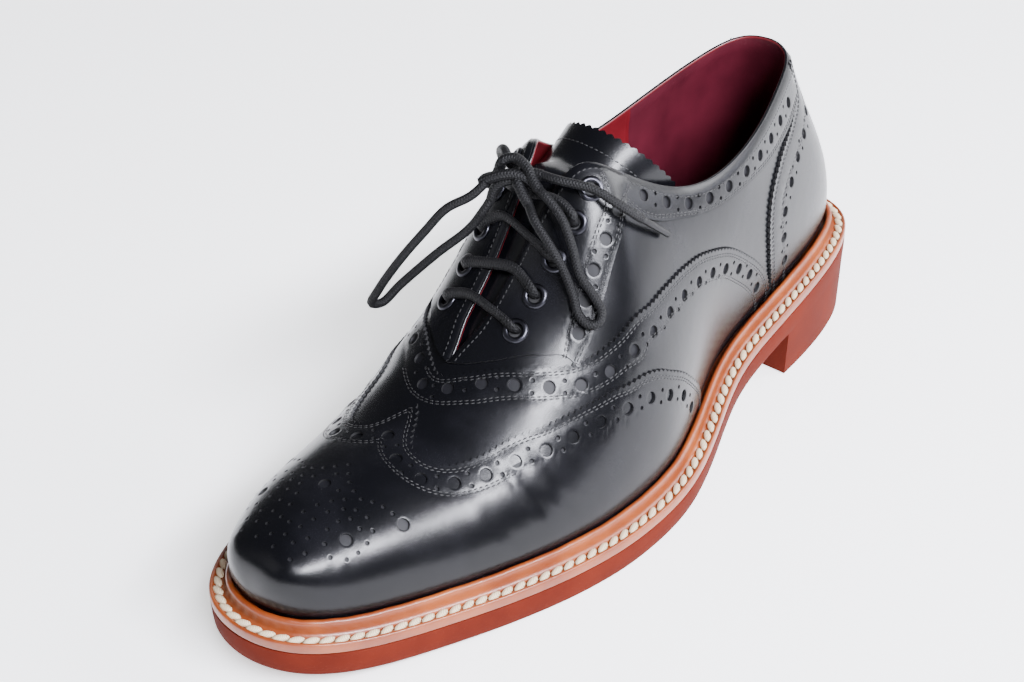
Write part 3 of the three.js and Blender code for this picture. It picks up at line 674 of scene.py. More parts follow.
def makeLooseLace():
    looks = laceLooks
    sides = looks["sides"]
    for name, (node, rows) in laceRoutes.items():
        path, length = evenly(smoothLine(routed(rows), 200), step=1.0)
        radius = np.full(len(path), looks["radius"])
        materials, indices = [finish["lace"]], None
        ends = "End" in name
        if ends:
            run = np.linspace(0, length, len(path))
            radius = np.where(run > length - looks["tipLength"], looks["tipRadius"], radius)
            tipped = run[:-1] > length - looks["tipLength"] - 0.5
            materials.append(finish["tip"])
            indices = np.repeat(tipped.astype(int), sides).tolist() + [0] * sides + [1] * sides
        points, faces, uvs = tube(path, radius)
        obj = addPiece(name, points, faces, materials, (node,), indices, uvs)


makeLooseLace()
print("loose lace laid")


# Sole: slabs between rows of the outline, each with an edge of its own profile
soleLooks = {"stations": 240, "heelStations": 110, "insoleStations": 140, "across": 12, "seat": 0.36}


def slabPiece(name, node, stations, profile, material, breast=None):
    # profile: rows of inwards, up and, where the row is drawn to the full edge by the heel, True;
    # an up of None is the floor
    seat = soleLooks["seat"]
    easy = np.clip((line["along"](stations) - sizes["heelLength"] + 3) / 7, 0, 1)
    easy = easy**2 * (3 - 2 * easy)
    rims, levels = [], []
    for inwards, up, drawn in profile:
        far = np.full(len(stations), float(inwards))
        level = np.full(len(stations), np.nan if up is None else float(up))
        if drawn:
            far = seat + (far - seat) * easy
            level = level * easy
        rims.append((solePoint(-stations, -far, 0), solePoint(stations, -far, 0)))
        levels.append(level)
    n = len(stations)
    across = soleLooks["across"]
    strips, heights = [], []

    def add(point, level):
        strips.append(point)
        heights.append(level)

    for k in range(across + 1):
        add(rims[0][0] + (rims[0][1] - rims[0][0]) * k / across, levels[0])
    for (left, right), level in zip(rims[1:], levels[1:]):
        add(right, level)
    for k in range(1, across + 1):
        add(rims[-1][1] + (rims[-1][0] - rims[-1][1]) * k / across, levels[-1])
    for (left, right), level in zip(rims[-2:0:-1], levels[-2:0:-1]):
        add(left, level)
    grid = np.stack(strips, 1)
    level = np.stack(heights, 1)
    start = sizes["soleLength"] / 2 - grid[..., 1]
    if breast is not None:
        grid[..., 1] = np.maximum(grid[..., 1], sizes["soleLength"] / 2 - breast)
    grid[..., 2] = np.where(np.isnan(level), 0, riseAt(start) + level)
    w = grid.shape[1]
    faces = []
    for i in range(n - 1):
        for j in range(w):
            a, b = i * w + j, i * w + (j + 1) % w
            faces.append((a, a + w, b + w, b))
    faces.append(tuple(range(w)))
    faces.append(tuple(range((n - 1) * w, n * w))[::-1])
    return addPiece(name, grid.reshape(-1, 3), faces, [material], (node,), sharp=50)


def makeSole():
    looks = soleLooks
    stations = tip * (0.5 - 0.5 * np.cos(np.linspace(0.0006, 1, looks["stations"]) * math.pi))
    depth = sizes["outsoleDepth"]
    slabPiece("outsoleRubber", "outsole", stations, [
        (0.3, depth, False), (0.05, depth - 0.2, False), (0, depth - 0.6, False), (0.1, depth / 2, False),
        (0.35, 1.2, True), (0.6, 0.45, True), (1.0, 0.15, True), (1.6, 0, True)], finish["rubber"])
    many = np.linspace(0, tip, 1601)
    breast = np.interp(sizes["heelLength"], line["along"](many), many)
    stations = breast * (1 - np.cos(np.linspace(0.001, 1, looks["heelStations"]) * math.pi / 2))
    slabPiece("heelRubber", "heel", stations, [
        (looks["seat"], 0.4, False), (looks["seat"], -0.1, False), (sizes["heelTaper"], None, False)],
        finish["rubber"], sizes["heelLength"])


weltLooks = {
    "rimHeight": 4.35, "rimInner": 7.75, "rimWidth": 2.3, "groove": 0.9, "innerEdge": 10.4, "stations": 560,
    "stitchIn": 2.7, "stitchUp": 0.35,
}


def makeWelt():
    # The section from the outer edge over the groove and the rim to the inside: inwards and up
    looks = weltLooks
    inner, height, groove = looks["rimInner"], looks["rimHeight"], looks["groove"]
    outer = inner - looks["rimWidth"]
    depth = sizes["weltDepth"]
    section = [
        (0.25, -depth), (0.05, -depth + 0.25), (0.0, -depth + 0.7), (-0.05, -depth / 2), (0.0, -0.7),
        (0.12, -0.3), (0.4, -0.05), (0.7, 0.03), (1.0, -0.05), (1.3, -0.3), (1.6, -groove),
        (2.2, -groove - 0.1), (3.3, -groove - 0.05), (4.1, -groove + 0.2), (outer - 0.45, -0.1),
        (outer - 0.15, 0.8), (outer - 0.02, 2.0), (outer, height - 1.2), (outer + 0.18, height - 0.5),
        (outer + 0.6, height - 0.12), (outer + 1.15, height), (outer + 1.7, height - 0.12),
        (inner - 0.2, height - 0.5), (inner, height - 1.2), (inner, 0.0), (looks["innerEdge"], 0.0),
        (looks["innerEdge"], -depth)]
    around = np.linspace(-tip, tip, looks["stations"], endpoint=False)
    u = np.abs(around)
    wave = 0.12 * np.sin(u * 9.1 + 0.7) * np.sin(u * 3.3)  # the rim isn't quite even
    grid = np.stack([
        solePoint(around, -inwards, edgeDepth + up + (wave if up > 1 else 0 * wave)) for inwards, up in section], 1)
    n, m = grid.shape[:2]
    faces = []
    for i in range(n):
        for j in range(m):
            a, b = i * m + j, i * m + (j + 1) % m
            c, d = ((i + 1) % n) * m + (j + 1) % m, ((i + 1) % n) * m + j
            faces.append((a, b, c, d))
    addPiece("stormWelt", grid.reshape(-1, 3), faces, [finish["welt"]], ("welt",), sharp=60)


def makeInsole():
    stations = tip * (0.5 - 0.5 * np.cos(np.linspace(0.0006, 1, soleLooks["insoleStations"]) * math.pi))
    up = sizes["outsoleDepth"] + sizes["gap"]
    slabPiece("insoleSock", "insole", stations, [
        (12.2, up + 5.9, False), (11.5, up + 5.4, False), (11.3, up + 1, False)], finish["sock"])


makeSole()
makeWelt()
makeInsole()
print("sole made")

# Upper: the wall with its lining; the leather's layers lie these distances from the last, in millimetres
layers = {
    "base": -1.1, "lining": -2.6, "overlay": -0.1, "overlayUnder": -1.05, "cap": 0.75, "capUnder": -0.15,
    "rim": 0.75,
    "skirt": -0.085,  # the share of a rib's height at which the leather ends, under the foot
    "seam": 4.05,  # the section at which the two linings meet
}


def makeUpper():
    half = np.unique(np.concatenate([
        np.linspace(0, 1, 20), np.linspace(1, 15, 170), np.linspace(15, 16, 22), [sizes["throatBase"]],
        np.array([-0.025, 0.025]) + layers["seam"]]))
    around = np.concatenate([half, -half[1:-1][::-1]])
    steps = np.concatenate([[layers["skirt"], -0.04], np.linspace(0, 1, 44)])
    q = around[:, None]
    v = steps[None, :]
    u = np.abs(q) + 0 * v
    share = np.where(q < 0, 2 - np.minimum(v, 1 - 1e-7), v + 0 * q)
    outer = skin(u, share, layers["base"])
    heelPart = u < layers["seam"]
    inner = skin(u, share, layers["lining"] - 0.6 * heelPart * np.clip((1 - v) * 25, 0, 1))
    top = spot(np.abs(around), np.where(around < 0, 1 + 1e-9, 1.0))
    out = outOf(np.abs(around), np.where(around < 0, 1 + 1e-9, 1.0))
    before = spot(np.abs(around), np.where(around < 0, 1.02, 0.98))
    up = top - before
    up /= np.linalg.norm(up, axis=1, keepdims=True) + 1e-9
    rims = []
    for turn in np.linspace(0, math.pi, 7)[1:-1]:
        middle = (layers["base"] + layers["lining"]) / 2
        radius = (layers["base"] - layers["lining"]) / 2
        rims.append(top + out * (middle + radius * math.cos(turn)) + up * layers["rim"] * math.sin(turn))
    n, m = len(around), len(steps)
    points = np.concatenate([outer.reshape(-1, 3), inner.reshape(-1, 3), np.stack(rims, 1).reshape(-1, 3)])
    k = len(rims)
    at = lambda i, j: (i % n) * m + j
    inAt = lambda i, j: n * m + (i % n) * m + j
    rimAt = lambda i, j: 2 * n * m + (i % n) * k + j
    faces, indices = [], []
    for i in range(n):
        closed = min(abs(around[i]), abs(around[(i + 1) % n])) >= sizes["throatBase"] - 1e-6
        for j in range(m - 1):
            faces.append((at(i, j), at(i + 1, j), at(i + 1, j + 1), at(i, j + 1)))
            faces.append((inAt(i, j), inAt(i, j + 1), inAt(i + 1, j + 1), inAt(i + 1, j)))
            reach = max(abs(around[i]), abs(around[(i + 1) % n]))
            # lining faces behind the seam take the heel lining, whose colour holds painted shade
            indices += [0, 2 if reach < layers["seam"] + 0.01 else 1]
        faces.append((at(i, 0), inAt(i, 0), inAt(i + 1, 0), at(i + 1, 0)))
        indices.append(0)
        if not closed:
            here = [at(i, m - 1)] + [rimAt(i, j) for j in range(k)] + [inAt(i, m - 1)]
            there = [at(i + 1, m - 1)] + [rimAt(i + 1, j) for j in range(k)] + [inAt(i + 1, m - 1)]
            for j in range(k + 1):
                faces.append((here[j], there[j], there[j + 1], here[j + 1]))
                indices.append(0 if j < (3 if abs(around[i]) > 6.6 else 4) else 1)
    materials = [finish["calf"], finish["lining"], finish["heelLiningAndShade"]]
    addPiece("upperWall", points, faces, materials, ("upper",), indices, sharp=60)


makeUpper()
print("upper made")

# Lines on the last, as in the CAD source: section number and share of the rib's height
lines = {
    "wing": [
        [5.85, -0.085], [5.86, 0.02], [6.0, 0.12], [6.5, 0.26], [7.1, 0.33], [7.9, 0.36], [8.5, 0.39],
        [9.2, 0.44], [9.9, 0.50], [10.4, 0.55], [10.9, 0.60], [11.3, 0.67], [11.5, 0.76], [11.5, 0.86],
        [11.35, 0.91], [11.15, 0.95], [10.98, 1]],
    "wingHoles": [
        [6.25, 0.02], [6.35, 0.12], [6.72, 0.225], [7.3, 0.275], [7.9, 0.305], [8.55, 0.338], [9.3, 0.382],
        [10.0, 0.432], [10.5, 0.48], [11.0, 0.535], [11.42, 0.60], [11.72, 0.70], [11.8, 0.80], [11.75, 0.90],
        [11.55, 1]],
    "vamp": [
        [3.80, -0.085], [3.80, 0.0], [3.85, 0.07], [3.95, 0.16], [4.3, 0.35], [4.85, 0.55], [5.5, 0.625],
        [6.1, 0.61], [6.8, 0.555], [7.45, 0.51], [8.0, 0.49], [8.5, 0.50], [9.0, 0.55], [9.55, 0.65],
        [10.0, 0.77], [10.35, 0.88], [10.55, 1]],
    "vampHoles": [
        [4.08, 0.03], [4.23, 0.2], [4.7, 0.40], [5.3, 0.51], [5.98, 0.527], [6.72, 0.487], [7.35, 0.45],
        [7.95, 0.43], [8.52, 0.442], [9.08, 0.50], [9.65, 0.606], [10.08, 0.725], [10.45, 0.86], [10.75, 1]],
    "vampFront": [
        [6.5, -0.085], [6.6, 0.06], [7.0, 0.18], [8.0, 0.26], [9.0, 0.33], [10.0, 0.42], [10.9, 0.5], [11.6, 0.6],
        [12.0, 0.76], [12.0, 0.9], [11.8, 1]],
    "counter": [
        [3.72, -0.085], [3.72, 0.0], [3.78, 0.22], [3.70, 0.43], [3.45, 0.59], [2.90, 0.71], [2.12, 0.77],
        [1.50, 0.84], [1.25, 1]],
    "counterHoles": [
        [3.4, 0.02], [3.42, 0.18], [3.38, 0.35], [3.08, 0.48], [2.65, 0.565], [2.18, 0.62], [1.6, 0.665],
        [1.02, 0.75], [0.85, 0.9]],
    "facing": [[8.95, 0.535], [8.55, 0.565], [8.1, 0.63], [7.6, 0.72], [7.25, 0.83], [7.0, 0.90]],
    "facingHoles": [[8.95, 0.575], [8.33, 0.681], [8.0, 0.719], [7.6, 0.775], [7.3, 0.86]],
    "facingFront": [[9.1, 0.60], [8.93, 0.631], [8.35, 0.72], [7.85, 0.79], [7.6, 0.86], [7.55, 0.93]],
    "facingEnd": [
        [10.38, 1.0], [10.3, 0.93], [10.1, 0.85], [9.75, 0.76], [9.4, 0.67], [9.1, 0.6], [8.95, 0.535]],
    "band": [
        [7.27, 0.822], [7.05, 0.798], [6.7, 0.795], [5.9, 0.828], [5.0, 0.835], [4.2, 0.822], [3.4, 0.797],
        [2.9, 0.79], [2.2, 0.79], [1.4, 0.82]],
    "bandHoles": [
        [7.05, 0.895], [6.6, 0.897], [5.78, 0.906], [5.2, 0.911], [4.68, 0.911], [4.12, 0.90], [3.58, 0.895],
        [2.95, 0.893], [2.25, 0.89], [1.7, 0.89]],
}

# A flat chart of the upper: x is the distance along the ridge and topline, y the distance down a rib,
# with the lateral side positive. It keeps lengths well enough to cut patterns on.
ribShares = np.linspace(layers["skirt"], 1, 72)
chartSections = np.linspace(0, tip, 801)


def ridgeLengths():
    middle = (spot(chartSections, 1.0) + spot(chartSections, 1 + 1e-9)) / 2
    return np.concatenate([[0], np.cumsum(np.linalg.norm(np.diff(middle, axis=0), axis=1))])


ridgeRun = ridgeLengths()


def ribTable(side):
    u = chartSections[:, None]
    v = ribShares[None, ::-1]
    share = 2 - np.minimum(v, 1 - 1e-7) + 0 * u if side < 0 else v + 0 * u
    steps = np.linalg.norm(np.diff(spot(u + 0 * v, share), axis=1), axis=2)
    return np.concatenate([np.zeros((len(u), 1)), np.cumsum(steps, axis=1)], axis=1)


ribTables = np.stack([ribTable(1), ribTable(-1)])


def ribLengths(u, side):
    at = np.clip(np.asarray(u, float) / tip * (len(chartSections) - 1), 0, len(chartSections) - 1.001)
    i = at.astype(int)
    t = (at - i)[:, None]
    k = (np.asarray(side) < 0).astype(int)
    return ribTables[k, i] * (1 - t) + ribTables[k, i + 1] * t


def toChart(u, v, side):
    u, v, side = (np.atleast_1d(np.asarray(k, float)) for k in (u, v, side))
    lengths = ribLengths(u, side)
    down = 1 - v
    grid = 1 - ribShares[::-1]
    y = np.array([np.interp(d, grid, row) for d, row in zip(down, lengths)])
    return np.stack([np.interp(u, chartSections, ridgeRun), side * np.maximum(y, 1e-4)], -1)


def fromChart(xy):
    xy = np.atleast_2d(xy)
    u = np.interp(xy[:, 0], ridgeRun, chartSections)
    side = np.where(xy[:, 1] < 0, -1.0, 1.0)
    lengths = ribLengths(u, side)
    y = np.abs(xy[:, 1])
    k = np.clip((lengths <= y[:, None]).sum(1) - 1, 0, lengths.shape[1] - 2)
    i = np.arange(len(u))
    a, b = lengths[i, k], lengths[i, k + 1]
    t = np.clip((y - a) / np.maximum(b - a, 1e-9), 0, 1)
    grid = ribShares[::-1]
    v = grid[k] + t * (grid[k + 1] - grid[k])
    return u, np.where(side < 0, 2 - np.minimum(v, 1 - 1e-7), v)


def chartFrame(xy):
    # The two tangents at places of the chart, and the way out
    h = 0.15
    here = np.atleast_2d(xy)
    u, share = fromChart(here)
    dx = (spot(*fromChart(here + [h, 0])) - spot(*fromChart(here - [h, 0]))) / (2 * h)
    inner = np.where(here[:, 1] >= 0, 1.0, -1.0)
    away = here + np.stack([0 * inner, inner * h], -1)
    dy = (spot(*fromChart(away)) - spot(u, share)) / h * inner[:, None]
    return dx, dy, outOf(u, share)


def stepOver(xy, along, aside, direction):
    # Moves places of the chart by millimetres along a chart direction and to its left on the leather
    dx, dy, n = chartFrame(xy)
    d = np.broadcast_to(direction, np.shape(xy))
    t = d[:, :1] * dx + d[:, 1:] * dy
    t /= np.linalg.norm(t, axis=1, keepdims=True) + 1e-12
    m = np.cross(n, t)
    want = np.asarray(along)[..., None] * t + np.asarray(aside)[..., None] * m
    a, b, c = (dx * dx).sum(1), (dx * dy).sum(1), (dy * dy).sum(1)
    p, q = (dx * want).sum(1), (dy * want).sum(1)
    det = a * c - b * b + 1e-9
    return np.asarray(xy) + np.stack([(c * p - b * q) / det, (a * q - b * p) / det], -1)


def chartLine(rows, side=1, count=160):
    rows = np.asarray(rows, float)
    return smoothLine(toChart(rows[:, 0], rows[:, 1], np.full(len(rows), side)), count)


def overRidge(rows, count=160):
    near = np.asarray(rows, float)
    lateral = toChart(near[:, 0], near[:, 1], np.ones(len(near)))
    medial = toChart(near[:-1, 0], near[:-1, 1], -np.ones(len(near) - 1))
    return smoothLine(np.vstack([lateral, medial[::-1]]), 2 * count)


def spaced(xy, step):
    # Even steps in real millimetres along a line of the chart
    pts = spot(*fromChart(xy))
    run = np.concatenate([[0], np.cumsum(np.linalg.norm(np.diff(pts, axis=0), axis=1))])
    count = max(2, int(round(run[-1] / step)) + 1)
    at = np.linspace(0, run[-1], count)
    return np.stack([np.interp(at, run, xy[:, k]) for k in (0, 1)], -1), run[-1]


def directions(xy):
    d = np.gradient(xy, axis=0)
    return d / (np.linalg.norm(d, axis=1, keepdims=True) + 1e-12)


def beside(xy, aside):
    return stepOver(xy, np.zeros(len(xy)), np.full(len(xy), float(aside)), directions(xy))


gimp = {"pitch": 2.3, "depth": 0.95}


def gimped(xy, inward):
    # A saw-toothed edge: the teeth stand out, away from the piece
    pts, _ = spaced(xy, gimp["pitch"] / 4)
    phase = np.arange(len(pts)) % 4
    reach = np.array([0.0, 0.62, 1.0, 0.62])[phase] * gimp["depth"]
    return stepOver(pts, np.zeros(len(pts)), -np.sign(inward) * reach, directions(pts))


holeLooks = {
    "big": 2.05, "small": 0.72, "pitch": 10.6, "pair": 2.0, "eyelet": 2.75,
    "rim": 0.35, "dip": 0.055, "deep": 0.93, "groove": 0.09,
}


def isBig(radius):
    return radius > 1.2


def sidesOf(radius):
    return 20 if isBig(radius) else 10


def holeRow(xy, end=1):
    # Large holes at even steps with a pair of small ones between each two, as centres and radii
    pts, length = spaced(xy, 0.5)
    run = np.linspace(0, length, len(pts))
    d = directions(pts)
    found = []
    usable = length - 2 * end
    count = max(1, int(round(usable / holeLooks["pitch"])))
    real = usable / count
    for k in range(count):
        at = end + (k + 0.5) * real
        i = int(np.clip(np.searchsorted(run, at), 1, len(pts) - 2))
        found.append((pts[i], holeLooks["big"]))
        if k < count - 1:
            i = int(np.clip(np.searchsorted(run, at + real / 2), 1, len(pts) - 2))
            for aside in (-1, 1):
                p = stepOver(pts[i:i + 1], np.zeros(1), np.array([aside * holeLooks["pair"]]), d[i:i + 1])[0]
                found.append((p, holeLooks["small"]))
    return found


def ring(centre, radius, sides):
    turn = np.linspace(0, 2 * math.pi, sides, endpoint=False)
    xy = np.repeat(np.asarray(centre)[None, :], sides, 0)
    return stepOver(xy, radius * np.cos(turn), radius * np.sin(turn), np.array([1.0, 0.0]))


def inPolygon(points, polygon):
    x, y = points[:, 0], points[:, 1]
    inside = np.zeros(len(points), bool)
    px, py = polygon[:, 0], polygon[:, 1]
    qx, qy = np.roll(px, -1), np.roll(py, -1)
    for a, b, c, d in zip(px, py, qx, qy):
        cross = (b > y) != (d > y)
        inside ^= cross & (x < (c - a) * (y - b) / (d - b + 1e-15) + a)
    return inside


def clearOfHoles(points, holes):
    for centre, radius in holes:
        near = np.linalg.norm(points - centre, axis=1) < 2 * radius
        if near.any():
            near[near] = inPolygon(points[near], ring(centre, radius + 0.2, 16))
            points = points[~near]
    return points


def treeOf(points):
    tree = kdtree.KDTree(len(points))
    for i, p in enumerate(points):
        tree.insert(p, i)
    tree.balance()
    return tree


def clearOfTree(points, tree, gap):
    return np.array([p for p in points if tree.find((p[0], p[1], 0))[2] > gap]).reshape(-1, 2)


def cutSheet(outline, holes, grooves, step):
    # A flat sheet with its holes, as places of the chart, how deep each lies and triangles.
    # A tag says what a point belongs to: 0 the outline, 1 and up a hole's edge, -1 nothing.
    points = [outline]
    tags = [np.zeros(len(outline), int)]
    dips = [np.zeros(len(outline))]
    edges = [(i, (i + 1) % len(outline)) for i in range(len(outline))]
    total = len(outline)

    def add(xy, dip):
        points.append(xy)
        tags.append(np.full(len(xy), -1))
        dips.append(np.full(len(xy), float(dip)))

    for index, (centre, radius) in enumerate(holes):
        sides, big = sidesOf(radius), isBig(radius)
        rim = holeLooks["rim"] * (1 if big else 0.5)
        points.append(ring(centre, radius, sides))
        tags.append(np.full(sides, index + 1))
        dips.append(np.full(sides, holeLooks["dip"] * (1 if big else 0.6)))
        add(ring(centre, radius + rim, sides), 0)
        add(ring(centre, radius + (2.4 if big else 2.0) * rim, sides), 0)
        for start in (total, total + sides):
            edges += [(start + i, start + (i + 1) % sides) for i in range(sides)]
        total += 3 * sides
    tree = treeOf([(x, y, 0) for x, y in np.concatenate(points)])
    for row, double in grooves:
        pts, _ = spaced(row, 1.5)
        depth = holeLooks["groove"]
        single = ((-0.9, 0), (0, depth), (0.9, 0))
        for aside, dip in ((-1.3, 0), (-0.5, depth), (0.5, depth), (1.3, 0)) if double else single:
            moved = beside(pts, aside)
            add(clearOfTree(clearOfHoles(moved[inPolygon(moved, outline)], holes), tree, 0.6), dip)
    tree = treeOf([(x, y, 0) for x, y in np.concatenate(points)])
    low, high = outline.min(0), outline.max(0)
    gx, gy = np.meshgrid(np.arange(low[0], high[0], step), np.arange(low[1], high[1], step * 0.87))
    gx = gx + (np.arange(gx.shape[0]) % 2)[:, None] * step / 2
    grid = np.stack([gx.ravel(), gy.ravel()], -1)
    add(clearOfTree(clearOfHoles(grid[inPolygon(grid, outline)], holes), tree, 0.55 * step), 0)

    flat = np.concatenate(points).tolist()
    tag = np.concatenate(tags)
    dip = np.concatenate(dips)
    made = delaunay_2d_cdt([Vector(p) for p in flat], edges, [], 0, 1e-5)
    verts = np.array([(v.x, v.y) for v in made[0]])
    source = [o[0] if o else -1 for o in made[3]]
    tag = np.array([tag[s] if s >= 0 else -1 for s in source])
    dip = np.array([dip[s] if s >= 0 else 0.0 for s in source])
    tri = np.array([f for f in made[2] if len(f) == 3])
    tagged = tag[tri]
    good = ~((tagged[:, 0] > 0) & (tagged == tagged[:, :1]).all(1))
    doubtful = (tagged == 0).all(1)
    good[doubtful] &= inPolygon(verts[tri].mean(1)[doubtful], outline)
    tri = tri[good]
    a, b, c = verts[tri[:, 0]], verts[tri[:, 1]], verts[tri[:, 2]]
    area = (b[:, 0] - a[:, 0]) * (c[:, 1] - a[:, 1]) - (b[:, 1] - a[:, 1]) * (c[:, 0] - a[:, 0])
    tri = np.where((area < 0)[:, None], tri[:, ::-1], tri)
    tri = tri[np.abs(area) > 1e-7]
    used = np.unique(tri)
    renumber = np.full(len(verts), -1)
    renumber[used] = np.arange(len(used))
    return verts[used], dip[used], renumber[tri]


def panel(name, outline, holes, grooves, node, layer="overlay", step=2.4, topEdge=None):
    # A cut sheet of leather on the last: outline, holes and pressed rows are lines of the chart
    outline = np.asarray(outline)
    outline = outline[np.linalg.norm(outline - np.roll(outline, 1, 0), axis=1) > 0.05]
    verts, dip, tri = cutSheet(outline, holes, grooves, step)
    if topEdge:
        # half of a pair: nothing of it may cross the collar to the other side
        side = 1 if np.median(outline[:, 1]) > 0 else -1
        verts[:, 1] = side * np.maximum(side * verts[:, 1], 1e-4)
    u, share = fromChart(verts)
    top = layers[layer]
    height = top - dip
    if topEdge:
        fold = np.clip(1 - np.abs(verts[:, 1]) / topEdge, 0, 1)
        fold = np.where(u < sizes["throatBase"] - 0.15, fold, 0)
        height = height - 0.95 * (1 - np.sqrt(1 - fold**2))
    v = np.where(share > 1, 2 - share, share)
    tuck = 0.9 * np.clip((0.06 - v) / 0.1, 0, 1) ** 1.5
    height = height - tuck
    lower = np.minimum(layers[layer + "Under"] - tuck, height - 0.12)
    points = [skin(u, share, height), skin(u, share, lower)]
    count = len(verts)
    inside = [(a, c, b) for a, b, c in tri.tolist()]  # wound as seen from inside the shoe
    edges = dict.fromkeys((f[i], f[(i + 1) % 3]) for f in inside for i in range(3))
    faces = [f[::-1] for f in inside]
    below = [(b + count, c + count, a + count) for a, b, c in inside]
    walls = [(b + count, a + count, a, b) for a, b in edges if (b, a) not in edges]
    floors = []
    total = 2 * count
    for centre, radius in holes:
        if radius < holeLooks["eyelet"]:
            sides = sidesOf(radius)
            deep = holeLooks["deep"] * (1 if isBig(radius) else 0.8)
            points.append(skin(*fromChart(np.vstack([ring(centre, radius * 1.03, sides), [centre]])), top - deep))
            floors += [(total + k, total + (k + 1) % sides, total + sides) for k in range(sides)]
            total += sides + 1
    indices = [0] * (len(faces) + len(below)) + [1] * len(walls) + [2] * len(floors)
    print("panel", name, len(faces))
    addPiece(
        name, np.concatenate(points), faces + below + walls + floors,
        [finish["calf"], finish["edge"], finish["backing"]], (node,), indices, sharp=45)


def footLine(start, end, side, count=90):
    return chartLine([[u, layers["skirt"]] for u in np.linspace(start, end, 14)], side, count)


stitchRows = []


def clearOf(moved, row, aside):
    # an offset line turns back on itself at a sharp corner: what comes too near the edge is dropped
    tree = treeOf(spot(*fromChart(spaced(row, 0.5)[0])))
    keep = np.array([tree.find(p)[2] > 0.96 * abs(aside) - 0.02 for p in spot(*fromChart(moved))])
    return moved[keep]


def sew(row, aside, double=False, layer="overlay"):
    # one or two rows of stitches; what comes back is the groove that they are pulled into
    for extra in (-0.45, 0.45) if double else (0,):
        offset = aside + extra
        moved = beside(spaced(row, 0.8)[0], offset)
        stitchRows.append((clearOf(moved, row, offset) if offset else moved, layers[layer] - 0.07))
    middle = beside(spaced(row, 0.8)[0], aside)
    return (clearOf(middle, row, aside) if aside else middle), double


def orient(edge, towards):
    # +1 when the inside of the piece lies to the left of the edge
    middle = len(edge) // 2
    test = stepOver(edge[middle:middle + 1], np.zeros(1), np.ones(1), directions(edge)[middle:middle + 1])[0]
    return 1 if np.linalg.norm(test - towards) < np.linalg.norm(edge[middle] - towards) else -1


medallion = {
    # the traditional punched pattern on the toe, as millimetres towards the toe's tip and to either side
    "middle": (12.8, 1.0),
    "big": [(0.3, 0), (-10.9, 27.0), (8.0, 19.0)],
    "curls": [
        [(-10.0, 0.0), (-7.1, 2.9), (-4.9, 5.6), (-3.6, 9.0), (-3.4, 12.6), (-5.7, 15.6), (-7.7, 18.9),
         (-9.2, 22.4)],
        [(-4.8, 0.0), (-0.3, 5.4), (0.6, 9.2), (0.2, 14.2), (-1.4, 18.2), (-0.7, 22.4)],
        [(3.9, 6.8), (3.1, 11.4), (3.3, 15.2), (2.6, 19.4), (2.6, 24.0), (6.4, 24.4), (10.5, 23.5)],
        [(7.8, 4.4), (7.3, 8.6), (6.9, 13.2)],
        [(12.3, 2.8), (12.0, 7.2), (11.1, 12.6), (14.4, 15.2), (14.9, 19.2)],
        [(17.3, 1.8), (16.5, 5.8), (17.4, 10.2), (21.0, 12.8), (25.7, 10.6)],
        [(23.5, 0.0), (21.2, 3.9), (21.6, 7.8), (26.3, 3.6)],
    ],
}


def medallionHoles():
    u, v = medallion["middle"]
    centre = toChart([u], [v], [1.0])[0]
    found = []
    for curl in [medallion["big"]] + medallion["curls"]:
        radius = holeLooks["big" if curl is medallion["big"] else "small"] * 0.95
        for x, y in curl:
            for side in ((1,) if y == 0 else (1, -1)):
                found.append((centre + np.array([x, side * y]), radius))
    return found


def makeFront():
    toe = toChart([14.0], [1.0], [1.0])[0]
    edge = overRidge(lines["wing"])
    start, end = lines["wing"][0][0], tip - 0.02
    inside = orient(edge, toe)
    outline = np.vstack([gimped(edge, inside), footLine(start, end, -1)[1:], footLine(start, end, 1)[::-1][:-1]])
    rows = [sew(edge, inside * a, True, "cap") for a in (1.6, 9.1)]
    holes = holeRow(overRidge(lines["wingHoles"]), 2)
    panel("wingCap", outline, holes + medallionHoles(), rows, "wing_cap", "cap")

    edge = overRidge(lines["vamp"])
    start, end = lines["vamp"][0][0], lines["vampFront"][0][0]
    inside = orient(edge, toe)
    outline = np.vstack([
        gimped(edge, inside), footLine(start, end, -1, 30)[1:], overRidge(lines["vampFront"])[::-1][1:],
        footLine(start, end, 1, 30)[::-1][1:-1]])
    rows = [sew(edge, inside * a, True) for a in (1.6, 9.1)]
    panel("vampPanel", outline, holeRow(overRidge(lines["vampHoles"]), 2), rows, "vamp")


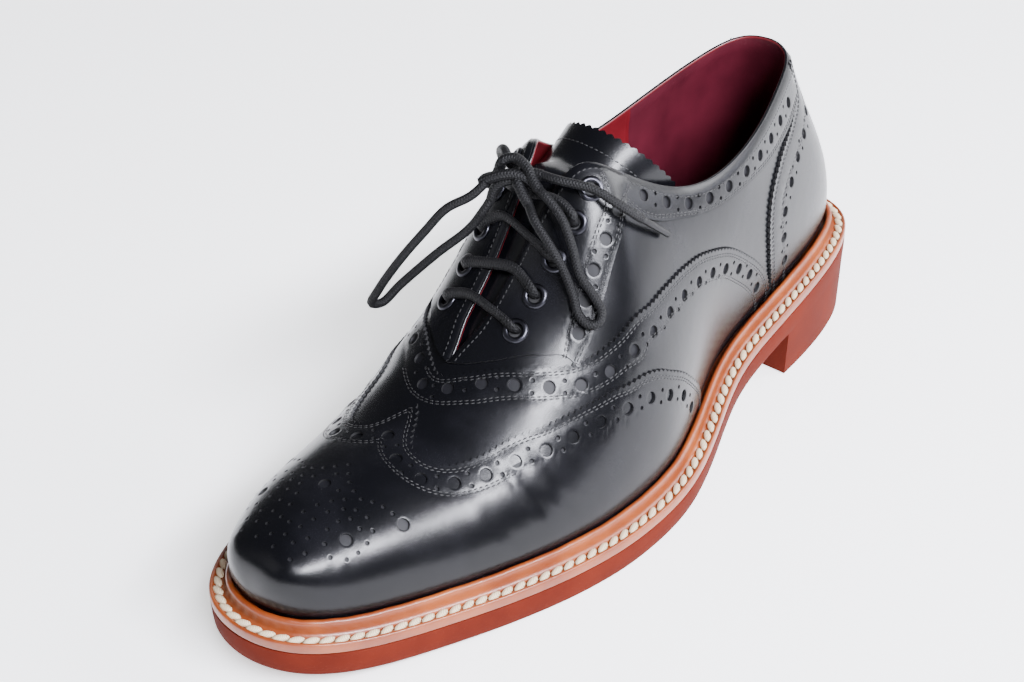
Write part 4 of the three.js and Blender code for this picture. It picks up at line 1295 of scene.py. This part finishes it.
def makeSide(side, word):
    # half of the counter, met at the back seam
    heel = toChart([0.4], [0.4], [1.0])[0] * [1, side]
    edge = chartLine(lines["counter"], side)
    inside = orient(edge, heel)
    topLine = chartLine([[u, 1.0] for u in np.linspace(lines["counter"][-1][0], 0.0, 8)], side, 24)
    backSeam = chartLine([[0.0, v] for v in np.linspace(1.0, layers["skirt"], 12)], side, 40)
    foot = footLine(0.0, lines["counter"][0][0], side, 40)
    outline = np.vstack([gimped(edge, inside), topLine[1:], backSeam[1:], foot[1:-1]])
    rows = [sew(edge, inside * a, True) for a in (1.6, 8.9)]
    holes = holeRow(chartLine(lines["counterHoles"], side))
    panel("counter" + word, outline, holes, rows, "counter", topEdge=1.6)

    edge = chartLine(lines["facing"], side)
    start, end = lines["facing"][-1][0], sizes["throatBase"]
    top = chartLine([[u, 1.0] for u in np.linspace(start, end - 0.12, 30)], side, 160)
    up = chartLine([[7.0, v] for v in (0.90, 0.95, 1.0)], side, 8)
    outline = np.vstack([edge, up[1:], top[1:], chartLine(lines["facingEnd"], side, 60)[1:-1]])
    rows = [sew(edge, orient(edge, top[80]) * 1.5, True)]
    rows.append(sew(chartLine(lines["facingFront"], side), 0, True))
    throat = chartLine([[u, 1.0] for u in np.linspace(7.3, end - 0.2, 30)], side, 160)
    rows.append(sew(throat, orient(throat, edge[80]) * 2.2))
    holes = holeRow(chartLine(lines["facingHoles"], side))
    holes += [(toChart([u], [v], [float(side)])[0], holeLooks["eyelet"]) for u, v in eyelets]
    panel("facing" + word, outline, holes, rows, "facing_" + word.lower(), step=2.2, topEdge=1.6)

    edge = chartLine(lines["band"], side)
    topLine = chartLine([[u, 1.0] for u in np.linspace(1.3, 7.0, 20)], side, 140)
    front = [chartLine([[7.0, 0.97], [7.0, 0.93], [7.0, 0.90]], side, 6)]
    front.append(chartLine([[7.06, 0.884], [7.2, 0.845]], side, 4))
    outline = np.vstack([edge, topLine] + front)
    rows = [sew(edge, orient(edge, topLine[70]) * 1.5, True)]
    topRow = topLine[3:-3]
    rows.append(sew(topRow, orient(topRow, edge[80]) * 3.0))
    holes = holeRow(chartLine(lines["bandHoles"], side))
    panel("collarBand" + word, outline, holes, rows, "collar_band_" + word.lower(), step=2.2, topEdge=1.6)


eyelets = [[9.6, 0.831], [9.13, 0.832], [8.72, 0.835], [8.3, 0.842], [7.88, 0.885]]
makeFront()
makeSide(1, "Lateral")
makeSide(-1, "Medial")
print("panels cut")


# Tongue: under the facings as in the CAD source, with a free top that is a little wider and further back
tongueLooks = {
    "drop": 1.5, "depth": 1.8, "wide": 96, "high": 70, "stitchIn": 4.6,
    "under": [[11.3, 0.80], [10.7, 0.78], [10.1, 0.74], [9.5, 0.71], [9.0, 0.69], [8.5, 0.68], [8.1, 0.69]],
    "over": [[0.487, 1.137, 0.168, 0.172, 0.016], [0.447, 1.205, 0.205, 0.215, 0.055]],
}


def tongueGrid(thin):
    t = tongueLooks
    ribs = []
    inside = -2.6 - t["drop"] - thin
    for i in range(t["wide"] + 1):
        share = 2 * i / t["wide"] - 1
        points = []
        for u, edge in t["under"]:
            v = 1 + (edge - 1) * abs(share)
            if abs(share) < 1e-9:
                ends = [spot(u, s) + outOf(u, s) * inside for s in (1.0, 1 + 1e-9)]
                points.append((np.ravel(ends[0]) + np.ravel(ends[1])) / 2)
            else:
                over = v if share > 0 else 2 - v
                points.append(np.ravel(spot(u, over) + outOf(np.array(u), np.array(over)) * inside))
        turn = math.pi / 2 * share
        for along, up, half, fall, behind in t["over"]:
            middle = float(line["topMiddle"](sizes["facingTop"]))
            wide = half * sizes["soleWidth"] - thin
            drop = fall * sizes["throatHeight"] - thin * 0.4
            points.append(np.ravel(place(
                middle + wide * math.sin(turn),
                (along - behind * (1 - math.cos(turn))) * sizes["soleLength"] + thin * 0.3,
                up * sizes["throatHeight"] - thin - drop * (1 - math.cos(turn)))))
        ribs.append(smoothLine(points, t["high"] + 1))
    return np.array(ribs)


def makeTongue():
    t = tongueLooks
    outer, inner = tongueGrid(0), tongueGrid(t["depth"])
    w, h = t["wide"] + 1, t["high"] + 1
    reach = np.array([0.0, 0.62, 1.0, 0.62])[np.arange(w) % 4] * 0.9
    for grid in (outer, inner):
        tangent = grid[:, -1] - grid[:, -2]
        tangent /= np.linalg.norm(tangent, axis=1, keepdims=True)
        grid[:, -1] += tangent * (reach[:, None] - 0.5)
    points = np.concatenate([outer.reshape(-1, 3), inner.reshape(-1, 3)])
    faces, indices = [], []
    for i in range(w - 1):
        for j in range(h - 1):
            a, b = i * h + j, (i + 1) * h + j
            faces.append((a, a + 1, b + 1, b))
            faces.append((w * h + a, w * h + b, w * h + b + 1, w * h + a + 1))
            indices += [0, 1]
        for j, flip in ((0, False), (h - 1, True)):
            a, b = i * h + j, (i + 1) * h + j
            quad = (a, b, w * h + b, w * h + a)
            faces.append(quad[::-1] if flip else quad)
            indices.append(2)
    for j in range(h - 1):
        for i, flip in ((0, True), (w - 1, False)):
            a, b = i * h + j, i * h + j + 1
            quad = (a, b, w * h + b, w * h + a)
            faces.append(quad[::-1] if flip else quad)
            indices.append(2)
    materials = [finish["calf"], finish["lining"], finish["edge"]]
    addPiece("tongueLeather", points, faces, materials, ("tongue",), indices, sharp=50)
    back = int(round(t["stitchIn"] / np.linalg.norm(outer[w // 2, -1] - outer[w // 2, -2])))
    row = outer[3:-3, -1 - max(2, back)]
    out = np.cross(outer[4:-2, -3] - outer[2:-4, -3], outer[3:-3, -2] - outer[3:-3, -4])
    out /= np.linalg.norm(out, axis=1, keepdims=True)
    if out[len(out) // 2][2] < 0:
        out = -out
    return row, out


tongueRow = makeTongue()
print("tongue made")


eyeletLooks = {
    "sides": 44, "seat": -0.12,
    "profile": [
        [0, -0.85], [2.2, -0.85], [2.2, 0.28], [2.3, 0.5], [2.55, 0.68], [3.0, 0.80], [3.55, 0.72], [3.95, 0.46],
        [4.15, 0.12], [4.15, -0.1], [3.0, -0.12]],
}


def makeEyelets():
    looks = eyeletLooks
    points, faces, indices, nodes = [], [], [], []
    for side, word in ((1, "lateral"), (-1, "medial")):
        for row, (u, v) in enumerate(eyelets):
            nodes.append(f"eyelet_{word}_{row + 1}")
            share = v if side > 0 else 2 - v
            centre = np.ravel(spot(u, share))
            out = np.ravel(outOf(np.array(u), np.array(share)))
            a = np.cross(out, [0, 1.0, 0])
            a /= np.linalg.norm(a)
            b = np.cross(out, a)
            base = len(points)
            n = looks["sides"]
            for r, h in looks["profile"]:
                for k in range(n):
                    turn = 2 * math.pi * k / n
                    aside = math.cos(turn) * a + math.sin(turn) * b
                    points.append(centre + out * (h + looks["seat"]) + max(r, 1e-3) * aside)
            for j in range(len(looks["profile"]) - 1):
                for k in range(n):
                    p, q = base + j * n + k, base + j * n + (k + 1) % n
                    faces.append((p, q, q + n, p + n))
                    # the first step of the profile is a disc across the bottom of the hole, in the dark edge
                    # finish: painted shade for the dark inside seen through the eyelet
                    indices.append(1 if j < 1 else 0)
    materials = [finish["metal"], finish["edge"]]
    addPiece("eyeletRings", points, faces, materials, nodes, indices, sharp=60)


makeEyelets()

# Bars: each rises from its eyelets in steps of a rib's share and height, to the middle
barLooks = {
    "slack": [0.25, -0.35, 0.4], "wide": 1.3, "flat": 0.58,
    "rise": [[0.004, -0.9], [0.008, 0.4], [0.02, 1.35], [0.042, 1.7], [0.078, 1.25]],
    "middle": [0.985, 1.05],
}


def makeBars():
    for row, slack in enumerate(barLooks["slack"]):
        u, v = eyelets[row]
        half = [[v + step, height] for step, height in barLooks["rise"]] + [barLooks["middle"]]
        rails = []
        for side in (1, -1):
            pts = []
            for k, (share, height) in enumerate(half):
                s = share if side > 0 else 2 - share
                pts.append(np.ravel(skin(u + 0.02 * k * slack * side, s, height)))
            rails.append(pts)
        path, _ = evenly(smoothLine(rails[0] + rails[1][::-1], 160), step=0.8)
        points, faces, uvs = tube(path, laceLooks["radius"] * barLooks["wide"], barLooks["flat"])
        name, nodes = f"laceBar{row + 1}", (f"lace_bar_{row + 1}",)
        addPiece(name, points, faces, [finish["lace"]], nodes, None, uvs)
    for name, rows in laceRises.items():
        side = 1 if "lateral" in name else -1
        u, v = eyelets[3]
        low = []
        for share, height in ((v, -0.9), (v + 0.002, 0.6), (v + 0.012, 2.4)):
            low.append(np.ravel(skin(u, share if side > 0 else 2 - share, height)))
        path, _ = evenly(smoothLine(np.vstack([low, routed(rows)]), 120), step=0.8)
        points, faces, uvs = tube(path, laceLooks["radius"])
        camel = "laceRise" + ("Lateral" if side > 0 else "Medial")
        addPiece(camel, points, faces, [finish["lace"]], (name,), None, uvs)


makeBars()

knotRoutes = [
    [[-11.8, 173.6, 112.6], [-11.5, 172.4, 115.0], [-10.5, 172.2, 117.7], [-9.3, 170.7, 118.7],
     [-6.8, 169.3, 119.0], [-3.4, 169.5, 118.0], [0, 170.6, 116.4], [2.2, 171.3, 114.6], [4.6, 171.9, 112.7]],
    [[-13.4, 179.4, 112.2], [-11, 177.4, 113.8], [-8, 175.6, 115.2], [-4.5, 173.4, 115.8], [-1, 171.6, 114.6],
     [1.5, 170.6, 112.6]],
    [[2.6, 174.5, 107.9], [0.4, 174.6, 110.6], [-2.2, 173.8, 113.2], [-4.5, 172.2, 114.6]],
    [[-11, 177, 106.3], [-10.4, 176.2, 109.4], [-8.4, 174.8, 112.2], [-5.5, 173, 113.6]],
    [[3.2, 168.4, 116], [-0.6, 169.4, 115.9], [-4.5, 170.6, 114.8]],
    [[1.0, 169.8, 109], [-1.6, 170.6, 111.3], [-3.5, 171.4, 113]],
    [[-8.4, 170.2, 108.8], [-6.4, 171, 111.4], [-5, 171.6, 113]],
]


def makeKnot():
    points, faces, uvs = [], [], []
    for rows in knotRoutes:
        path, _ = evenly(smoothLine(routed(rows), 90), step=0.7)
        p, f, t = tube(path, laceLooks["radius"] * laceLooks["knotWide"])
        base = len(points)
        points += p.tolist()
        faces += [tuple(k + base for k in face) for face in f]
        uvs += t
    addPiece("laceKnot", points, faces, [finish["lace"]], ("lace_knot",), None, uvs)


makeKnot()
print("eyelets and lace made")

# Stitches: one tree of nodes sets them along drawn lines; lengths in metres, slant in radians
threadKinds = {
    "fine": {"Pitch": 0.0019, "Long": 0.00074, "Thick": 0.00025, "High": 0.00013, "Slant": 0.10},
    "welt": {"Pitch": 0.0046, "Long": 0.00285, "Thick": 0.00128, "High": 0.00100, "Slant": 0.42},
}


def stitchTree():
    tree = bpy.data.node_groups.new("stitchesOnLines", "GeometryNodeTree")
    face = tree.interface
    face.new_socket("Geometry", in_out="INPUT", socket_type="NodeSocketGeometry")
    for name in ("Pitch", "Long", "Thick", "High", "Slant"):
        face.new_socket(name, in_out="INPUT", socket_type="NodeSocketFloat")
    face.new_socket("Material", in_out="INPUT", socket_type="NodeSocketMaterial")
    face.new_socket("Geometry", in_out="OUTPUT", socket_type="NodeSocketGeometry")

    def add(kind, settings=None, **links):
        node = tree.nodes.new(kind)
        for key, value in (settings or {}).items():
            setattr(node, key, value)
        for key, value in links.items():
            socket = node.inputs[int(key[1:])]
            if hasattr(value, "links"):
                tree.links.new(value, socket)
            else:
                socket.default_value = value
        return node

    given = add("NodeGroupInput").outputs
    drawn = add("GeometryNodeMeshToCurve", None, i0=given["Geometry"])
    resample = add("GeometryNodeResampleCurve", {"mode": "LENGTH"})
    tree.links.new(drawn.outputs[0], resample.inputs["Curve"])
    tree.links.new(given["Pitch"], resample.inputs["Length"])
    tangent = add("GeometryNodeInputTangent")
    normal = add("GeometryNodeInputNamedAttribute", {"data_type": "FLOAT_VECTOR"})
    normal.inputs["Name"].default_value = "outwards"
    first = add("FunctionNodeAlignRotationToVector", {"axis": "X"})
    tree.links.new(tangent.outputs[0], first.inputs["Vector"])
    second = add("FunctionNodeAlignRotationToVector", {"axis": "Z", "pivot_axis": "X"})
    tree.links.new(first.outputs[0], second.inputs["Rotation"])
    tree.links.new(normal.outputs[0], second.inputs["Vector"])
    wobble = add("FunctionNodeRandomValue", {"data_type": "FLOAT"})
    wobble.inputs[2].default_value = -0.07
    wobble.inputs[3].default_value = 0.07
    wobble.inputs["Seed"].default_value = 7
    lean = add("ShaderNodeMath", {"operation": "ADD"})
    tree.links.new(given["Slant"], lean.inputs[0])
    tree.links.new(wobble.outputs[1], lean.inputs[1])
    angles = add("ShaderNodeCombineXYZ")
    tree.links.new(lean.outputs[0], angles.inputs[2])
    turn = add("FunctionNodeEulerToRotation")
    tree.links.new(angles.outputs[0], turn.inputs[0])
    turned = add("FunctionNodeRotateRotation", {"rotation_space": "LOCAL"})
    tree.links.new(second.outputs[0], turned.inputs[0])
    tree.links.new(turn.outputs[0], turned.inputs[1])
    bead = add("GeometryNodeMeshUVSphere")
    bead.inputs["Segments"].default_value = 8
    bead.inputs["Rings"].default_value = 5
    bead.inputs["Radius"].default_value = 1
    smooth = add("GeometryNodeSetShadeSmooth")
    tree.links.new(bead.outputs[0], smooth.inputs[0])
    size = add("ShaderNodeCombineXYZ")
    for k, name in enumerate(("Long", "Thick", "High")):
        tree.links.new(given[name], size.inputs[k])
    dots = add("GeometryNodeInstanceOnPoints")
    tree.links.new(resample.outputs[0], dots.inputs["Points"])
    tree.links.new(smooth.outputs[0], dots.inputs["Instance"])
    tree.links.new(turned.outputs[0], dots.inputs["Rotation"])
    tree.links.new(size.outputs[0], dots.inputs["Scale"])
    real = add("GeometryNodeRealizeInstances", None, i0=dots.outputs[0])
    painted = add("GeometryNodeSetMaterial")
    tree.links.new(real.outputs[0], painted.inputs[0])
    tree.links.new(given["Material"], painted.inputs["Material"])
    out = add("NodeGroupOutput")
    tree.links.new(painted.outputs[0], out.inputs[0])
    return tree


stitches = stitchTree()


def sewn(name, rows, kind, material):
    # rows: pairs of points in millimetres and the way out at each
    points, edges, out = [], [], []
    for pts, normals in rows:
        base = len(points)
        points += (np.asarray(pts) / 1000).tolist()
        out += np.asarray(normals).tolist()
        edges += [(base + i, base + i + 1) for i in range(len(pts) - 1)]
    mesh = bpy.data.meshes.new(name + "Lines")
    mesh.from_pydata(points, edges, [])
    held = mesh.attributes.new("outwards", "FLOAT_VECTOR", "POINT")
    held.data.foreach_set("vector", np.asarray(out, float).ravel())
    obj = bpy.data.objects.new(name, mesh)
    bpy.context.collection.objects.link(obj)
    modifier = obj.modifiers.new("stitches", "NODES")
    modifier.node_group = stitches
    ids = {s.name: s.identifier for s in stitches.interface.items_tree if s.in_out == "INPUT"}
    for key, value in threadKinds[kind].items():
        modifier[ids[key]] = value
    modifier[ids["Material"]] = material
    bpy.context.view_layer.update()
    made = bpy.data.meshes.new_from_object(obj.evaluated_get(bpy.context.evaluated_depsgraph_get()))
    obj.modifiers.clear()
    obj.data = made
    made.name = name
    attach(obj, "root")
    print("sewn", name, len(made.polygons))
    return obj


def makeStitches():
    rows = []
    for xy, height in stitchRows:
        u, share = fromChart(xy)
        keep = (u > sizes["throatBase"]) | (xy[:, 1] * np.median(xy[:, 1]) > 0)
        xy, u, share = xy[keep], u[keep], share[keep]
        rows.append((skin(u, share, height), outOf(u, share)))
    sewn("blackStitches", rows, "fine", finish["blackThread"])
    around = np.linspace(-tip, tip, 2400)
    welt = solePoint(around, -weltLooks["stitchIn"], edgeDepth - weltLooks["groove"] + weltLooks["stitchUp"])
    up = np.tile([0, 0, 1.0], (len(around), 1))
    sewn("weltStitches", [(welt, up)], "welt", finish["creamThread"])
    sewn("tongueStitches", [tongueRow], "fine", finish["blackThread"])


makeStitches()
print("stitches sewn")

# The studio: a pale floor, a low backdrop and soft lamps
studio = {
    "floor": (0.90, 0.90, 0.90), "floorGlow": 1.05,
    "world": (0.80, 0.81, 0.84), "worldStrength": 0.18,
    "lamps": [
        # from, size, watts, colour
        ("keyLamp", (1.18, -0.22, 1.16), (1.3, 0.26), 140, (0.90, 0.91, 1.0)),
        ("backLamp", (1.3, 1.6, 1.3), (1.4, 0.8), 62, (0.95, 0.96, 1.0)),
        ("lowLamp", (1.15, 1.25, 0.42), (0.9, 0.26), 4, (0.82, 0.84, 1.0)),
        ("frontLamp", (-0.7, -1.7, 1.2), (1.2, 1.2), 3, (0.97, 0.98, 1.0)),
    ],
}


def makeStudio():
    f = Finish("paleFloor")
    material = f.set(color=studio["floor"], roughness=0.85, glow=(1.0, 1.0, 1.0), glowStrength=studio["floorGlow"])
    mesh = bpy.data.meshes.new("studioFloor")
    bend = [(2.0 + 0.8 * math.sin(a), 0.8 * (1 - math.cos(a))) for a in np.linspace(0.1, math.pi / 2, 10)]
    rows = [(-4, 0), (2.0, 0)] + bend + [(2.8, 2.0)]
    points, faces = [], []
    for x in (-4, 4):
        points += [(x, y, z - 0.0002) for y, z in rows]
    n = len(rows)
    for i in range(n - 1):
        faces.append((i, i + n, i + n + 1, i + 1))
    mesh.from_pydata(points, [], faces)
    mesh.polygons.foreach_set("use_smooth", [True] * len(mesh.polygons))
    mesh.materials.append(material)
    obj = bpy.data.objects.new("studioFloor", mesh)
    bpy.context.collection.objects.link(obj)
    obj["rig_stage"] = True
    world = bpy.data.worlds.new("studioWorld")
    world.use_nodes = True
    back = next(node for node in world.node_tree.nodes if node.type == "BACKGROUND")
    back.inputs[0].default_value = (*studio["world"], 1)
    back.inputs[1].default_value = studio["worldStrength"]
    bpy.context.scene.world = world
    for name, at, size, watts, colour in studio["lamps"]:
        data = bpy.data.lights.new(name, "AREA")
        data.shape = "RECTANGLE"
        data.size, data.size_y = size
        data.energy = watts
        data.color = colour
        lamp = bpy.data.objects.new(name, data)
        bpy.context.collection.objects.link(lamp)
        aim = (Vector((0, 0, 0.05)) - Vector(at)).to_track_quat("-Z", "Y").to_matrix().to_4x4()
        lamp.matrix_world = Matrix.Translation(at) @ aim


makeStudio()
print("studio set")


def ownBox():
    low, high = np.full(3, 9.0), np.full(3, -9.0)
    for obj in bpy.context.scene.objects:
        if obj.type == "MESH" and not obj.get("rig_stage") and not obj.hide_render:
            co = np.empty(len(obj.data.vertices) * 3)
            obj.data.vertices.foreach_get("co", co)
            co = co.reshape(-1, 3)
            if len(co):
                co = co @ np.array(obj.matrix_world)[:3, :3].T + np.array(obj.matrix_world)[:3, 3]
                low, high = np.minimum(low, co.min(0)), np.maximum(high, co.max(0))
    return [low.tolist(), high.tolist()]


bpy.context.view_layer.update()
{"cad": [list(map(float, row)) for row in cadBox], "scene": ownBox()}
